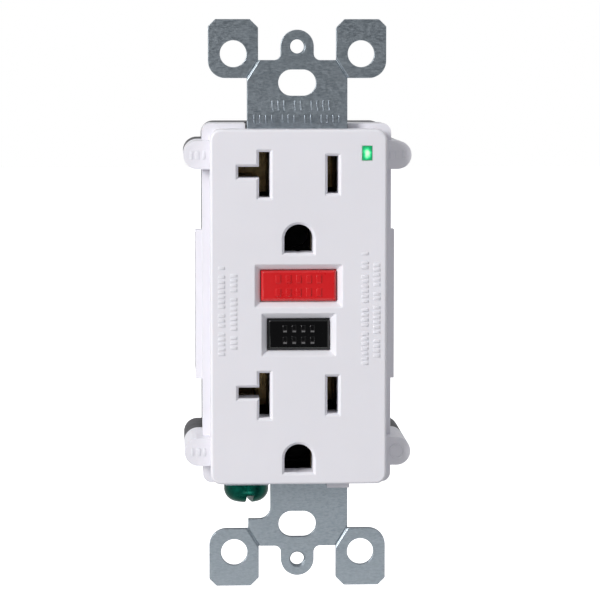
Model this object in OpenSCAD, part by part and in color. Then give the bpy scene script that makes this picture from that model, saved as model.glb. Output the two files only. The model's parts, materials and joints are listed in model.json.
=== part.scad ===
// Duplex ground-fault receptacle, 20 A 125 V, built as it comes apart on a bench.
// X is to the right, Y runs into the wall, Z is up. The origin is the centre of the
// strap's back plane, which lies against the wall or the device box.

/* [Face] */
// Width of the face that shows in the wall plate
face_w = 32.8; // [32:0.1:33.4]
// Height of the face
face_h = 66.2; // [65.6:0.1:66.8]
// How far the face stands in front of the wall plane
face_out = 7.6; // [7.2:0.1:8.4]
// Thickness of the moulded walls
wall = 1.6; // [1.4:0.1:1.8]

/* [Body] */
// Width of the body behind the face
body_w = 35.6; // [35:0.1:36.2]
// Height of the body behind the face
body_h = 68; // [67.8:0.1:68.4]
// Where the shroud of the cover begins, behind the wall plane
shroud_y = 1.2; // [1:0.1:1.6]
// Where the cover meets the rear housing, behind the wall plane
split_y = 12.6; // [12.6:0.1:12.8]
// Depth of the body behind the wall plane
body_depth = 27; // [27:0.1:28]
// Distance from the centre line to the end of a screw lug
lug_reach = 21.3; // [21:0.1:21.8]
// Half the height of a screw lug
lug_r = 2.64; // [2.5:0.02:2.8]
// Height of the screw lugs above and below the centre
lug_z = 27.9; // [27.6:0.1:28.2]
// How far both pairs of lugs sit above the face's middle
lug_lift = 0.3; // [0:0.1:0.4]
// Where a lug's front face stands, in front of the wall plane
lug_front = 2.9; // [2.4:0.1:3.2]
// Half the width across the side ribs
rib_reach = 19.05; // [18.6:0.05:19.4]
// Half the height of a side rib
rib_half_h = 14.3; // [13.8:0.1:14.3]
// Height of the side ribs' middle above the body's middle
rib_mid_z = -0.75; // [-1:0.05:-0.5]

/* [Outlets] */
// Height of the upper outlet's blades above the centre
upper_z = 24.73; // [24.6:0.01:24.8]
// Height of the lower outlet's blades, below the centre
lower_z = -16.37; // [-16.5:0.01:-16.3]
// Distance of each blade slot from the centre line
blade_x = 6.35; // [6.3:0.01:6.4]
// Distance from the blades down to the earth pin
earth_drop = 11.89; // [11.8:0.01:12]
// Width of a blade slot
slot_w = 2; // [1.9:0.05:2.1]
// Height of the hot slot
hot_h = 6.9; // [6.6:0.1:7.1]
// Height of the upright part of the neutral slot
neutral_h = 8.4; // [8.2:0.1:8.6]
// Radius of the earth hole
earth_r = 2.66; // [2.6:0.01:2.7]

/* [Buttons] */
// Height of the reset button's centre
reset_z = 4.08; // [4:0.01:4.2]
// Height of the test button's centre
test_z = -5.03; // [-5.1:0.01:-4.9]
// Width of the reset button's opening
reset_w = 14.2; // [13.8:0.1:14.4]
// Width of the test button's opening
test_w = 11.7; // [11.4:0.1:12]
// Height of both openings
button_h = 5.95; // [5.8:0.05:6]
// Gap all round a button in its opening
button_gap = 0.1; // [0.08:0.01:0.14]

/* [Strap] */
// Thickness of the strap
strap_t = 1.1; // [1:0.05:1.2]
// Height of the plate screw holes above and below the centre
plate_screw_z = 48.4; // [48.3:0.05:48.5]
// Height of the box screw slots above and below the centre
box_screw_z = 41.65; // [41.5:0.05:41.8]
// Half the height of the whole strap
strap_half_h = 53.45; // [53.2:0.05:53.6]
// Half the width across the ears
ear_reach = 16.65; // [16.5:0.05:16.8]

/* [Terminals] */
// Height of the terminal screws above and below the centre
term_z = 19.8; // [19.7:0.1:19.9]
// Depth of the terminal screws behind the wall plane
term_y = 17; // [17:0.1:17.2]
// Radius of a terminal screw's shank
term_shank_r = 2.05; // [2:0.01:2.1]
// Radius of a rear wire hole
wire_r = 1.35; // [1.3:0.05:1.4]

/* [Hidden] */
$fn = 48;
eps = 0.02;
face_y = -face_out;
front_t = 1.8;
shroud_corner = 1.7;
rear_corner = 2.4;
side_inner_w = face_w - 2 * wall;
side_inner_h = face_h - 2 * wall;
shroud_inner_w = body_w - 2 * wall;
shroud_inner_h = body_h - 2 * wall;
lug_x = lug_reach - lug_r;
upper_earth_z = upper_z - earth_drop;
lower_earth_z = lower_z - earth_drop;
outlets = [upper_z, lower_z];
earths = [upper_earth_z, lower_earth_z];
sides = [-1, 1];
tee_rise = 0.47;                      // the lying part of a neutral slot sits a little above its middle
tee_end = 11.2;
slot_bevel = 0.5;
pocket_bevel = 1.1;
button_wall_back = face_y + 2.7;      // back of the thickened wall round a button
reset_flange_y = button_wall_back + 1.6;
test_flange_y = button_wall_back + 0.05;
guide_back = -2.0;                    // back of the blade guides under the face
led_x = 12.67;
led_z = 28.7;
led_w = 1.8;
led_h = 2.65;
neck_half = 9.4;
shoulder_z = 45.85;
ear_foot_z = 42.5;
ear_inner = 7.3;
ear_hole = [11.95, 47.03];
floor_y = split_y - 1.2;              // front of the separator's floor
strip_y = floor_y - 0.65;             // front of the load conductors' base strip
strip_t = 0.6;
grip_y = -0.7;                        // front of the blade grips
plate_in = 12.9;                      // inner face of a terminal plate
plate_t = 0.9;
rear_in = body_depth - wall;          // inside of the rear wall
board_y = rear_in - 2.5;
board_t = 1.6;
arm_y = split_y + 1.3;
arm_t = 0.4;
arm_x = 9.6;
latch_y = split_y + 2.2;
latch_t = 0.8;
latch_foot_z = reset_z - 3.9;
latch_ledge_z = latch_foot_z - 4.6;
pin_r = 1.2;
pin_bore_r = 1.28;
pin_head_r = 1.8;
plunger_y = 17.4;
plunger_tip_z = 10.6;
plunger_r = 2.2;
plunger_rod_r = 1.3;
plunger_shoulder_z = 22;
trip_travel = 2;                      // how far the plunger drives the latch plate
solenoid_z0 = 17;
solenoid_z1 = 30.6;
coil_z = -20.2;
ground_screw = [-9.5, 5.5];           // X and Y of the earth screw
ground_shank_r = 2;
plate_hole_r = 1.5;                   // thread of the cover plate's screws
score_w = 0.42;                       // side of the square tool that scores the ears
score_len = 5.4;
earth_rivet = [2.2, 4.75];            // X each side and Z above an earth hole
rivet_r = 0.8;
ground_tab_z = [-34.25, -33.15];

// ---------- shared shapes ----------

// A box from its lowest to its highest corner
module span(x, y, z) {
    translate([x[0], y[0], z[0]])
        cube([x[1] - x[0], y[1] - y[0], z[1] - z[0]]);
}

// A flat outline in X and Z, given depth along Y
module deep(y) {
    translate([0, y[1], 0])
        rotate([90, 0, 0])
            linear_extrude(y[1] - y[0])
                children();
}

// Round bars along each axis
module bar_y(x, z, y, r) {
    translate([x, y[0], z])
        rotate([-90, 0, 0])
            cylinder(h = y[1] - y[0], r = r);
}

module bar_x(y, z, x, r) {
    translate([x[0], y, z])
        rotate([0, 90, 0])
            cylinder(h = x[1] - x[0], r = r);
}

module bar_z(x, y, z, r) {
    translate([x, y, z[0]])
        cylinder(h = z[1] - z[0], r = r);
}

// A rectangle with round corners, centred
module round_rect(w, h, r) {
    square([w - 2 * r, h], center = true);
    square([w, h - 2 * r], center = true);
    for (sx = sides, sz = sides)
        translate([sx * (w / 2 - r), sz * (h / 2 - r)])
            circle(r);
}

// A slot lying along X with round ends
module oblong(length, r) {
    square([length - 2 * r, 2 * r], center = true);
    for (s = sides)
        translate([s * (length / 2 - r), 0])
            circle(r);
}

// A rectangular funnel from size w by h plus the bevel at y[0], down to w by h at y[1]
module funnel(x, z, w, h, y, bevel) {
    intersection() {
        translate([0, 0, z - h / 2 - bevel])
            linear_extrude(h + 2 * bevel)
                polygon([
                    [x - w / 2 - bevel, y[0]], [x + w / 2 + bevel, y[0]],
                    [x + w / 2, y[1]], [x - w / 2, y[1]]
                ]);
        translate([x - w / 2 - bevel, 0, 0])
            rotate([90, 0, 90])
                linear_extrude(w + 2 * bevel)
                    polygon([
                        [y[0], z - h / 2 - bevel], [y[0], z + h / 2 + bevel],
                        [y[1], z + h / 2], [y[1], z - h / 2]
                    ]);
    }
}

// A rectangular opening through the face with a bevelled mouth
module bevelled_opening(x, z, w, h, back, bevel) {
    span([x - w / 2, x + w / 2], [face_y - 1, back], [z - h / 2, z + h / 2]);
    funnel(x, z, w, h, [face_y - eps, face_y + bevel], bevel);
}

// A wound wire: rings of eight points swept along a helix about Y or Z
function helix_point(t, turns, r, length) =
    [r * cos(360 * turns * t), r * sin(360 * turns * t), length * t];

module coil_spring(r, wire_r, length, turns) {
    rings = round(turns * 12);
    n = 8;
    points = [
        for (i = [0 : rings], k = [0 : n - 1])
            let (
                t = i / rings,
                a = 360 * turns * t,
                q = 360 * k / n,
                p = helix_point(t, turns, r, length - 2 * wire_r)
            )
            [
                p[0] + wire_r * cos(q) * cos(a),
                p[1] + wire_r * cos(q) * sin(a),
                p[2] + wire_r + wire_r * sin(q)
            ]
    ];
    side_faces = [
        for (i = [0 : rings - 1], k = [0 : n - 1])
            let (a = i * n + k, b = i * n + (k + 1) % n)
            [a, a + n, b + n, b]
    ];
    ends = [
        [for (k = [0 : n - 1]) k],
        [for (k = [n - 1 : -1 : 0]) rings * n + k]
    ];
    polyhedron(points = points, faces = concat(side_faces, ends), convexity = 10);
}

// ---------- housings ----------

module lug_outline(grow = 0) {
    for (sx = sides, sz = sides)
        translate([sx * lug_x, sz * lug_z + lug_lift]) {
            circle(lug_r + grow);
            translate([sx < 0 ? 0 : -(lug_x - face_w / 2 + 0.4), -lug_r - grow])
                square([lug_x - face_w / 2 + 0.4, 2 * (lug_r + grow)]);
        }
}

module each_lug() {
    for (sx = sides, sz = sides)
        translate([sx * lug_x, 0, sz * lug_z + lug_lift])
            children();
}

module earth_opening(z, back) {
    flat = 2.59;
    bar_y(0, z, [face_y - 1, back], earth_r);
    span([-earth_r, earth_r], [face_y - 1, back], [z - flat, z]);
    translate([0, face_y - eps, z])
        rotate([-90, 0, 0])
            cylinder(h = slot_bevel + eps, r1 = earth_r + slot_bevel, r2 = earth_r);
    funnel(0, z - flat / 2, 2 * earth_r, flat, [face_y - eps, face_y + slot_bevel], slot_bevel);
}

module outlet_openings(z, back) {
    lying_w = tee_end - blade_x;
    bevelled_opening(blade_x, z, slot_w, hot_h, back, slot_bevel);
    bevelled_opening(-blade_x, z, slot_w, neutral_h, back, slot_bevel);
    bevelled_opening(-blade_x - lying_w / 2, z + tee_rise, lying_w, slot_w, back, slot_bevel);
    earth_opening(z - earth_drop, back);
}

// Guides that lead the blades and the earth pin back from the face
module outlet_guides(z) {
    guide = [face_y + front_t - eps, guide_back];
    span([blade_x - 2.2, blade_x + 2.2], guide, [z - hot_h / 2 - 1.2, z + hot_h / 2 + 1.2]);
    span([-tee_end - 1.1, -blade_x + 2.2], guide, [z - neutral_h / 2 - 1.1, z + neutral_h / 2 + 1.1]);
    span(
        [-earth_r - 1.1, earth_r + 1.1],
        guide,
        [z - earth_drop - earth_r - 0.45, z - earth_drop + earth_r + 0.6]
    );
}

module face_cover() color("whitesmoke") {
    difference() {
        union() {
            difference() {
                union() {
                    deep([face_y, split_y]) round_rect(face_w, face_h, 2);
                    deep([shroud_y, split_y]) round_rect(body_w, body_h, shroud_corner);
                    deep([-lug_front, split_y]) lug_outline();
                    span(
                        [-rib_reach, rib_reach],
                        [shroud_y + 7.76, split_y],
                        [rib_mid_z - rib_half_h, rib_mid_z + rib_half_h]
                    );
                }
                deep([face_y + front_t, split_y + 1]) round_rect(side_inner_w, side_inner_h, 1);
                deep([shroud_y + wall, split_y + 1]) round_rect(shroud_inner_w, shroud_inner_h, 1.5);
            }
            for (z = outlets) outlet_guides(z);
            span([-reset_w / 2 - 1.4, reset_w / 2 + 1.4], [face_y + front_t - eps, button_wall_back],
                [reset_z - button_h / 2 - 1.1, reset_z + button_h / 2 + 1.1]);
            span([-test_w / 2 - 1.4, test_w / 2 + 1.4], [face_y + front_t - eps, button_wall_back],
                [test_z - button_h / 2 - 1.1, test_z + button_h / 2 + 1.1]);
            // Rest on the lower edge, over the strap
            span([5.5, 9.7], [-3.6, -strap_t - 0.1], [-face_h / 2 - 1.3, -face_h / 2 + 0.5]);
        }
        for (z = outlets) outlet_openings(z, guide_back + 1);
        bevelled_opening(0, reset_z, reset_w, button_h, button_wall_back + 1, pocket_bevel);
        bevelled_opening(0, test_z, test_w, button_h, button_wall_back + 1, pocket_bevel);
        span([led_x - led_w / 2 - 0.05, led_x + led_w / 2 + 0.05], [face_y - 1, 0],
            [led_z - led_h / 2 - 0.05, led_z + led_h / 2 + 0.05]);
        // Notches for the strap, open towards the rear housing
        span(
            [-neck_half - 0.3, neck_half + 0.2],
            [-strap_t - 0.05, split_y + 1],
            [face_h / 2 - wall - 0.5, 40]
        );
        span([-13.85, 9.75], [-strap_t - 0.05, split_y + 1], [-40, -face_h / 2 + wall + 0.5]);
        // Blind holes for the assembly screws
        each_lug() bar_y(0, 0, [-1.6, split_y + 1], 1.1);
    }
}

// Inner part that keeps the live conductors apart and carries the strap
module separator() color("dimgray") {
    front_w = side_inner_w - 0.3;
    front_h = side_inner_h - 0.3;
    rib_in = 3.6;
    rib_out = 4.3;
    channel_out = 13.4;
    channel_z = 29.6;
    cup_r = 3.5;
    cup_back = split_y + 1.8;
    difference() {
        union() {
            deep([0, shroud_y + 2]) round_rect(front_w, front_h, 1);
            deep([shroud_y + 1.8, split_y]) round_rect(shroud_inner_w - 0.3, shroud_inner_h - 0.3, 1.4);
            span([-neck_half - 0.3, neck_half + 0.05], [0.1, split_y], [31, body_h / 2 - 0.2]);
            span([-4.9, 9.6], [0.1, split_y], [-body_h / 2 + 0.2, -31]);
            span([-13.7, -5.2], [10.2, split_y], [-body_h / 2 + 0.2, -31]);
            for (z = earths) bar_y(0, z, [floor_y, cup_back], cup_r);
        }
        // Channels for the two load conductors
        for (s = sides)
            mirror([s < 0 ? 1 : 0, 0, 0])
                span([rib_out, channel_out], [-1, floor_y], [-channel_z, channel_z]);
        // Pockets along the middle, with the earth wells
        for (z = [[18.7, 29.6], [8.7, 17.7], [-9.6, 7.9], [-23.3, -10.6], [-31.6, -24.3]])
            difference() {
                span([-rib_in, rib_in], [-1, floor_y], z);
                bar_y(0, reset_z, [0, floor_y + 1], rib_in + 0.15);
            }
        for (z = earths) bar_y(0, z, [0, cup_back - 0.5], cup_r - 0.6);
        // Spring seat and guide for the reset pin
        bar_y(0, reset_z, [-1, 6.2], 3.05);
        bar_y(0, reset_z, [0, split_y + 1], pin_bore_r);
        // Room for the test blade across the ribs
        span([-8.6, 6.6], [-1, 5.2], [test_z - 2.2, test_z + 2.2]);
        // Ways through the floor for the terminal plates and fixed contacts
        for (s = sides) {
            mirror([s < 0 ? 1 : 0, 0, 0])
                span(
                    [plate_in - 0.1, plate_in + plate_t + 0.1],
                    [floor_y - 1, split_y + 1],
                    [term_z - 4.6, term_z + 4.6]
                );
            bar_y(s * arm_x, 8, [floor_y - 1, split_y + 1], 1.9);
        }
        // Way for the light pipe
        span([led_x - led_w / 2 - 0.1, led_x + led_w / 2 + 0.1], [-1, split_y + 1],
            [led_z - led_h / 2 - 0.1, led_z + led_h / 2 + 0.1]);
        // Room for the earth screw and its tab
        bar_z(ground_screw[0], ground_screw[1], [-40, -27.8], 2.7);
        span([-13.7, -5.2], [-1, 10.2], [-40, -32.9]);
    }
    // Seat that the test blade is staked to
    span([-8.5, -6.5], [3.2, floor_y + 0.2], [test_z - 1.4, test_z + 1.4]);
}

module wire_holes() {
    for (sx = sides, sz = sides, k = sides)
        bar_y(sx * 11.52, sz * term_z + k * 3.6, [rear_in - 1, body_depth + 1], wire_r);
}

module rear_housing() color("gray") {
    room_z = [term_z - 4.8, term_z + 4.8];
    difference() {
        union() {
            difference() {
                union() {
                    deep([split_y, body_depth]) round_rect(body_w, body_h, rear_corner);
                    deep([split_y, body_depth - 0.2]) lug_outline();
                    // Starts lower than the cover's rib, and both clear the terminal rooms
                    span(
                        [-rib_reach, rib_reach],
                        [split_y, body_depth - 3],
                        [-rib_half_h, rib_mid_z + rib_half_h - 1.3]
                    );
                }
                deep([split_y - 1, rear_in]) round_rect(shroud_inner_w, shroud_inner_h, 1.5);
            }
            // Walls that close each terminal room off
            for (sx = sides, sz = sides)
                mirror([sx < 0 ? 1 : 0, 0, 0])
                    mirror([0, 0, sz < 0 ? 1 : 0])
                        difference() {
                            span(
                                [7.6, body_w / 2 - 1],
                                [split_y + 1, rear_in + 0.5],
                                [room_z[0] - 0.8, room_z[1] + 0.8]
                            );
                            span([8.4, body_w / 2 + 1], [split_y, rear_in], room_z);
                            span([7, 15.9], [split_y, split_y + 1.6], [13, room_z[0] + 0.1]);
                        }
            // Posts that the circuit board rests on
            for (sx = sides, z = [-30.5, -11, 11, 30.5])
                bar_y(sx * 6.5, z, [board_y + board_t, rear_in + 0.5], 1.6);
        }
        // Openings in the sides for the terminal screws
        for (sx = sides, sz = sides)
            mirror([sx < 0 ? 1 : 0, 0, 0])
                mirror([0, 0, sz < 0 ? 1 : 0])
                    span([14.5, 21], [split_y - 1, 22], [room_z[0] + 0.2, room_z[1] - 0.2]);
        // Ways through the lower rooms' walls for the line terminals' feet
        for (s = sides)
            mirror([s < 0 ? 1 : 0, 0, 0])
                span(
                    [plate_in - 0.1, plate_in + plate_t + 0.1],
                    [term_y + 2.9, term_y + 4.3],
                    [-25.6, -24.5]
                );
        wire_holes();
        // Strip gauge, a shallow groove on the back
        span([-5, 5], [body_depth - 0.5, body_depth + 1], [-0.6, 0.6]);
        // Holes and recessed seats for the assembly screws
        each_lug() {
            bar_y(0, 0, [split_y - 1, body_depth + 1], 1.3);
            bar_y(0, 0, [body_depth - 2.2, body_depth + 1], 2.05);
        }
    }
}

module assembly_screws() color("lightgray") {
    head_y = [body_depth - 2.2, body_depth - 0.6];
    each_lug()
        difference() {
            union() {
                bar_y(0, 0, head_y, 1.95);
                bar_y(0, 0, [-1.5, head_y[0] + 0.1], 1.1);
            }
            span([-2.5, 2.5], [head_y[1] - 0.7, head_y[1] + 1], [-0.25, 0.25]);
            span([-0.25, 0.25], [head_y[1] - 0.7, head_y[1] + 1], [-1.3, 1.3]);
        }
}

// ---------- strap and earth ----------

module ear_outline() {
    corner_r = 3.2;
    cut = 1.35;
    difference() {
        union() {
            translate([ear_inner, shoulder_z - 0.15])
                square([ear_reach - ear_inner, strap_half_h - shoulder_z + 0.15]);
            translate([ear_inner, ear_foot_z])
                square([ear_reach - ear_inner - corner_r, shoulder_z - ear_foot_z]);
            translate([ear_reach - corner_r, ear_foot_z + corner_r])
                circle(corner_r);
        }
        translate([ear_reach, strap_half_h])
            rotate(45)
                square([cut * sqrt(2), 4], center = true);
        translate([ear_inner, strap_half_h])
            rotate(-45)
                square([1.15 * cut * sqrt(2), 4], center = true);
        translate(ear_hole)
            circle(2.5);
    }
}

module strap_end_outline() {
    fillet = 1.2;
    tab_r = 3.1;
    difference() {
        union() {
            for (s = [0, 1])
                mirror([s, 0]) {
                    ear_outline();
                    // Fillet where the middle tab grows out of the shoulder
                    difference() {
                        translate([tab_r - 0.1, shoulder_z - 0.1])
                            square(fillet + 0.1);
                        translate([tab_r + fillet, shoulder_z + fillet])
                            circle(fillet);
                    }
                }
            translate([-tab_r, shoulder_z - 1])
                square([2 * tab_r, plate_screw_z - shoulder_z + 1]);
            translate([0, plate_screw_z])
                circle(tab_r);
        }
        translate([0, plate_screw_z])
            circle(1.5);
    }
}

module strap_outline() {
    inner_half = 13.6;
    neck_cut = 2.1;
    difference() {
        union() {
            translate([-inner_half, -31.2])
                square([2 * inner_half, 62.4]);
            translate([-neck_half, 31])
                square([2 * neck_half, shoulder_z - 31]);
            translate([-5.1, -shoulder_z])
                square([5.1 + 9.5, shoulder_z - 31]);
            translate([-9.3, -shoulder_z])
                square([10, shoulder_z - 40.65]);
            // Round inside corner beside the earth screw
            difference() {
                translate([-5.1 - neck_cut, -40.7])
                    square([neck_cut + 0.1, neck_cut + 0.05]);
                translate([-5.1 - neck_cut, -40.65 + neck_cut])
                    circle(neck_cut);
            }
            // Root of the earth tab
            translate([-inner_half, ground_tab_z[0]])
                square([8.2, 4]);
            strap_end_outline();
            mirror([0, 1]) strap_end_outline();
        }
        for (s = sides)
            translate([0, s * box_screw_z])
                oblong(7.1, 2.44);
        // Windows for the blades, the earth pins and the buttons
        for (z = outlets) {
            translate([-12, z - 5])
                square([8.3, 10]);
            translate([3.7, z - 4.4])
                square([5.1, 8.8]);
            translate([-3.3, z - earth_drop - 3.15])
                square([6.6, 6.3]);
        }
        translate([-9, -9.8])
            square([18, 18.6]);
        translate([led_x - 1.3, led_z - 1.8])
            square([3, 3.6]);
    }
}

module mounting_strap() color("lightslategray") {
    // A scored line runs between the two inside corners at the root of each ear
    score_x = (ear_inner + neck_half) / 2;
    score_z = (shoulder_z + ear_foot_z) / 2;
    score_tilt = atan2(neck_half - ear_inner, shoulder_z - ear_foot_z);
    difference() {
        union() {
            deep([-strap_t, 0]) strap_outline();
            // Drawn collars that give the plate screws their thread
            for (s = sides)
                bar_y(0, s * plate_screw_z, [-0.1, 1.2], plate_hole_r + 0.7);
            // Earth tab, bent back from the strap
            span([-13.6, -5.4], [-strap_t, 10], ground_tab_z);
        }
        for (s = sides)
            bar_y(0, s * plate_screw_z, [-3, 3], plate_hole_r);
        bar_z(ground_screw[0], ground_screw[1], [-36, -30], ground_shank_r + 0.05);
        for (z = earths, s = sides)
            bar_y(s * earth_rivet[0], z + earth_rivet[1], [-3, 3], rivet_r);
        // Scored lines where the ears break off
        for (sx = sides, sz = sides)
            mirror([sx < 0 ? 1 : 0, 0, 0])
                mirror([0, 0, sz < 0 ? 1 : 0])
                    translate([score_x, -strap_t, score_z])
                        rotate([0, -score_tilt, 0])
                            rotate([0, 0, 45])
                                cube([score_w, score_w, score_len], center = true);
    }
}

module ground_contact(z) {
    grip = 2.45;
    t = 0.6;
    difference() {
        span([-4.4, 4.4], [-strap_t - t, -strap_t], [z - 3.1, z + 6]);
        span([-grip - t, grip + t], [-5, 5], [z - 2.75, z + 2.75]);
        for (s = sides)
            bar_y(s * earth_rivet[0], z + earth_rivet[1], [-3, 3], rivet_r);
    }
    for (s = sides)
        mirror([s < 0 ? 1 : 0, 0, 0]) {
            span([grip, grip + t], [-strap_t - t, 10.8], [z - 2.4, z + 2.4]);
            span([grip + t - eps, 4], [-strap_t - t, -strap_t], [z - 2.4, z + 2.4]);
        }
}

module upper_ground_contact() color("goldenrod") ground_contact(upper_earth_z);
module lower_ground_contact() color("goldenrod") ground_contact(lower_earth_z);

module ground_contact_rivets() color("darkgoldenrod") {
    for (z = earths, s = sides) {
        bar_y(s * earth_rivet[0], z + earth_rivet[1], [-strap_t - 0.6, 0], rivet_r);
        bar_y(
            s * earth_rivet[0],
            z + earth_rivet[1],
            [-strap_t - 1.1, -strap_t - 0.6],
            rivet_r + 0.5
        );
    }
}

// Earth screw: a pan head with a full round shoulder and a straight slot
module ground_screw() color("darkgreen") {
    head_r = 4.25;
    head_top = ground_tab_z[0] - 0.05;
    head_h = 3.9;
    shoulder = 2.5;
    translate([ground_screw[0], ground_screw[1], 0])
        rotate([0, 0, 10])
            difference() {
                union() {
                    translate([0, 0, head_top - head_h])
                        rotate_extrude() {
                            square([head_r - shoulder, head_h]);
                            translate([0, shoulder])
                                square([head_r, head_h - shoulder]);
                            translate([head_r - shoulder, shoulder])
                                intersection() {
                                    circle(shoulder);
                                    translate([0, -shoulder])
                                        square([shoulder, shoulder + 0.1]);
                                }
                        }
                    translate([0, 0, head_top - 0.1])
                        cylinder(h = 6.1, r = ground_shank_r);
                }
                span([-0.65, 0.65], [-5, 5], [head_top - head_h - 1, head_top - head_h + 1.5]);
            }
}

// ---------- buttons ----------

module button_cap(z, w, front, flange_front) {
    h = button_h - 2 * button_gap;
    flange = [flange_front, flange_front + 0.8];
    span([-w / 2 + button_gap, w / 2 - button_gap], [front, flange[1]], [z - h / 2, z + h / 2]);
    span([-w / 2 - 0.8, w / 2 + 0.8], flange, [z - h / 2 - 0.55, z + h / 2 + 0.55]);
}

module reset_button() color("firebrick") {
    difference() {
        button_cap(reset_z, reset_w, face_y + 0.45, reset_flange_y);
        bar_y(0, reset_z, [-5, 0], pin_r);
    }
}

// Steel pin with a coned shoulder that the latch plate hooks behind
module reset_pin() color("silver") {
    shoulder_y = latch_y + latch_t + 0.05;
    shoulder = 0.9;
    bar_y(0, reset_z, [-5, shoulder_y], pin_r);
    translate([0, shoulder_y, reset_z])
        rotate([-90, 0, 0]) {
            cylinder(h = shoulder, r1 = pin_r, r2 = pin_head_r);
            translate([0, 0, shoulder]) cylinder(h = 0.8, r = pin_head_r);
            translate([0, 0, shoulder + 0.8]) cylinder(h = 0.85, r1 = pin_head_r, r2 = 0.8);
        }
}

module reset_spring() color("silver") {
    seat = 6.15;
    top = reset_flange_y + 0.85;
    translate([0, top, reset_z])
        rotate([-90, 0, 0])
            coil_spring(2.25, 0.25, seat - top, 6);
}

module test_button() color("black") {
    button_cap(test_z, test_w, face_y + 0.6, test_flange_y);
    span([1.6, 2.6], [test_flange_y + 0.7, 2.15], [test_z - 1, test_z + 1]);
}

// Leaf that springs the test button back and closes the test circuit
module test_blade() color("peru") {
    span([-8.4, 5.4], [2.2, 2.5], [test_z - 1.3, test_z + 1.3]);
    span([-8.4, -6.6], [2.5, 3.15], [test_z - 1.3, test_z + 1.3]);
}

module test_contact_post() color("gold") {
    span([4.6, 5.2], [4.9, floor_y - 0.05], [test_z - 1.1, test_z + 1.1]);
    bar_y(4.9, test_z, [4.55, 4.95], 0.7);
}

module test_resistor() color("tan") {
    y = 8.6;
    bar_x(y, test_z - 1.2, [-2.3, 2.3], 1.1);
    bar_x(y, test_z - 1.2, [-3.1, 3.1], 0.3);
    for (s = sides)
        bar_y(s * 3.05, test_z - 1.2, [y - 0.25, floor_y - 0.02], 0.3);
}

// ---------- indicator ----------

module led_light_pipe() color("limegreen") {
    span([led_x - led_w / 2, led_x + led_w / 2], [face_y - 0.1, 20.3],
        [led_z - led_h / 2, led_z + led_h / 2]);
}

module status_led() color("palegreen") {
    span([led_x - 1.6, led_x + 1.6], [board_y - 1.1, board_y], [led_z - 1.6, led_z + 1.6]);
    bar_y(led_x, led_z, [board_y - 2.4, board_y - 1.05], 1.1);
}

// ---------- live conductors ----------

// Two leaves that grip an upright blade, standing on the base strip
module blade_grip(z, half_h) {
    gap = 0.8;
    t = 0.6;
    for (s = sides) {
        x = blade_x + s * (gap + t / 2);
        span([x - t / 2, x + t / 2], [grip_y, strip_y + strip_t], [z - half_h, z + half_h]);
        translate([x, grip_y + 0.05, z])
            rotate([0, 0, s * 24])
                translate([0, -0.5, 0])
                    cube([t, 1.1, 2 * half_h - 0.2], center = true);
    }
    span([blade_x - gap - t, 9], [strip_y, strip_y + strip_t], [z - half_h, z + half_h]);
}

module load_strip(outer) {
    difference() {
        span([8.3, outer], [strip_y, strip_y + strip_t], [-20.2, 28.9]);
        bar_y(arm_x, 8, [0, 20], 0.9);
        span([4, 9], [0, 20], [test_z - 2.4, test_z + 2.4]);
    }
    span([9, plate_in + plate_t], [strip_y, strip_y + strip_t], [term_z - 4.4, term_z + 4.4]);
    terminal_plate([strip_y, term_y + 4.2], term_z);
}

module terminal_plate(y, z) {
    difference() {
        span([plate_in, plate_in + plate_t], y, [z - 4.4, z + 4.4]);
        bar_x(term_y, z, [10, 16], term_shank_r + 0.06);
    }
}

module load_hot_conductor() color("goldenrod") {
    load_strip(11.2);
    for (z = outlets) blade_grip(z, 3.2);
}

module load_neutral_conductor() color("goldenrod")
    mirror([1, 0, 0]) {
        load_strip(11.5);
        for (z = outlets) {
            difference() {
                blade_grip(z, 4);
                span(
                    [blade_x + 0.5, blade_x + 2],
                    [-2, strip_y],
                    [z + tee_rise - 1.3, z + tee_rise + 1.3]
                );
            }
            // Leaves that grip a blade lying across the slot
            for (s = sides)
                span([8.4, 11.4], [grip_y - 0.6, strip_y + strip_t],
                    [z + tee_rise + s * 1.1 - 0.3, z + tee_rise + s * 1.1 + 0.3]);
        }
    }

module line_terminal() {
    terminal_plate([split_y + 0.5, term_y + 4.2], -term_z);
    span([plate_in, plate_in + plate_t], [term_y + 4.1, board_y + board_t + 0.3], [-26.6, -25.7]);
    span([plate_in, plate_in + plate_t], [term_y + 3, term_y + 4.2], [-26.6, -term_z]);
}

module line_hot_terminal() color("goldenrod") line_terminal();
module line_neutral_terminal() color("goldenrod") mirror([1, 0, 0]) line_terminal();

// Bar that rises through the sensing coils and feeds a contact arm
module line_lead() {
    y = [arm_y - 0.6, arm_y - 0.1];
    span([0.7, 1.7], [arm_y - 0.6, board_y], [coil_z - 0.9, coil_z + 0.9]);
    span([0.7, 1.7], y, [coil_z, -10.6]);
    span([0.7, 11.4], y, [-12.6, -10.6]);
}

module line_hot_lead() color("goldenrod") line_lead();
module line_neutral_lead() color("goldenrod") mirror([1, 0, 0]) line_lead();

module terminal_screw(z) {
    head = [plate_in + plate_t + 0.25, plate_in + plate_t + 2.75];
    difference() {
        union() {
            bar_x(term_y, z, head, 4);
            bar_x(term_y, z, [8.6, head[0] + 0.1], term_shank_r);
        }
        span([head[1] - 1.1, head[1] + 1], [term_y - 5, term_y + 5], [z - 0.6, z + 0.6]);
        span([head[1] - 1.1, head[1] + 1], [term_y - 0.5, term_y + 0.5], [z - 2.2, z + 2.2]);
    }
}

module load_hot_screw() color("goldenrod") terminal_screw(term_z);
module line_hot_screw() color("goldenrod") terminal_screw(-term_z);
module load_neutral_screw() color("silver") mirror([1, 0, 0]) terminal_screw(term_z);
module line_neutral_screw() color("silver") mirror([1, 0, 0]) terminal_screw(-term_z);

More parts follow.
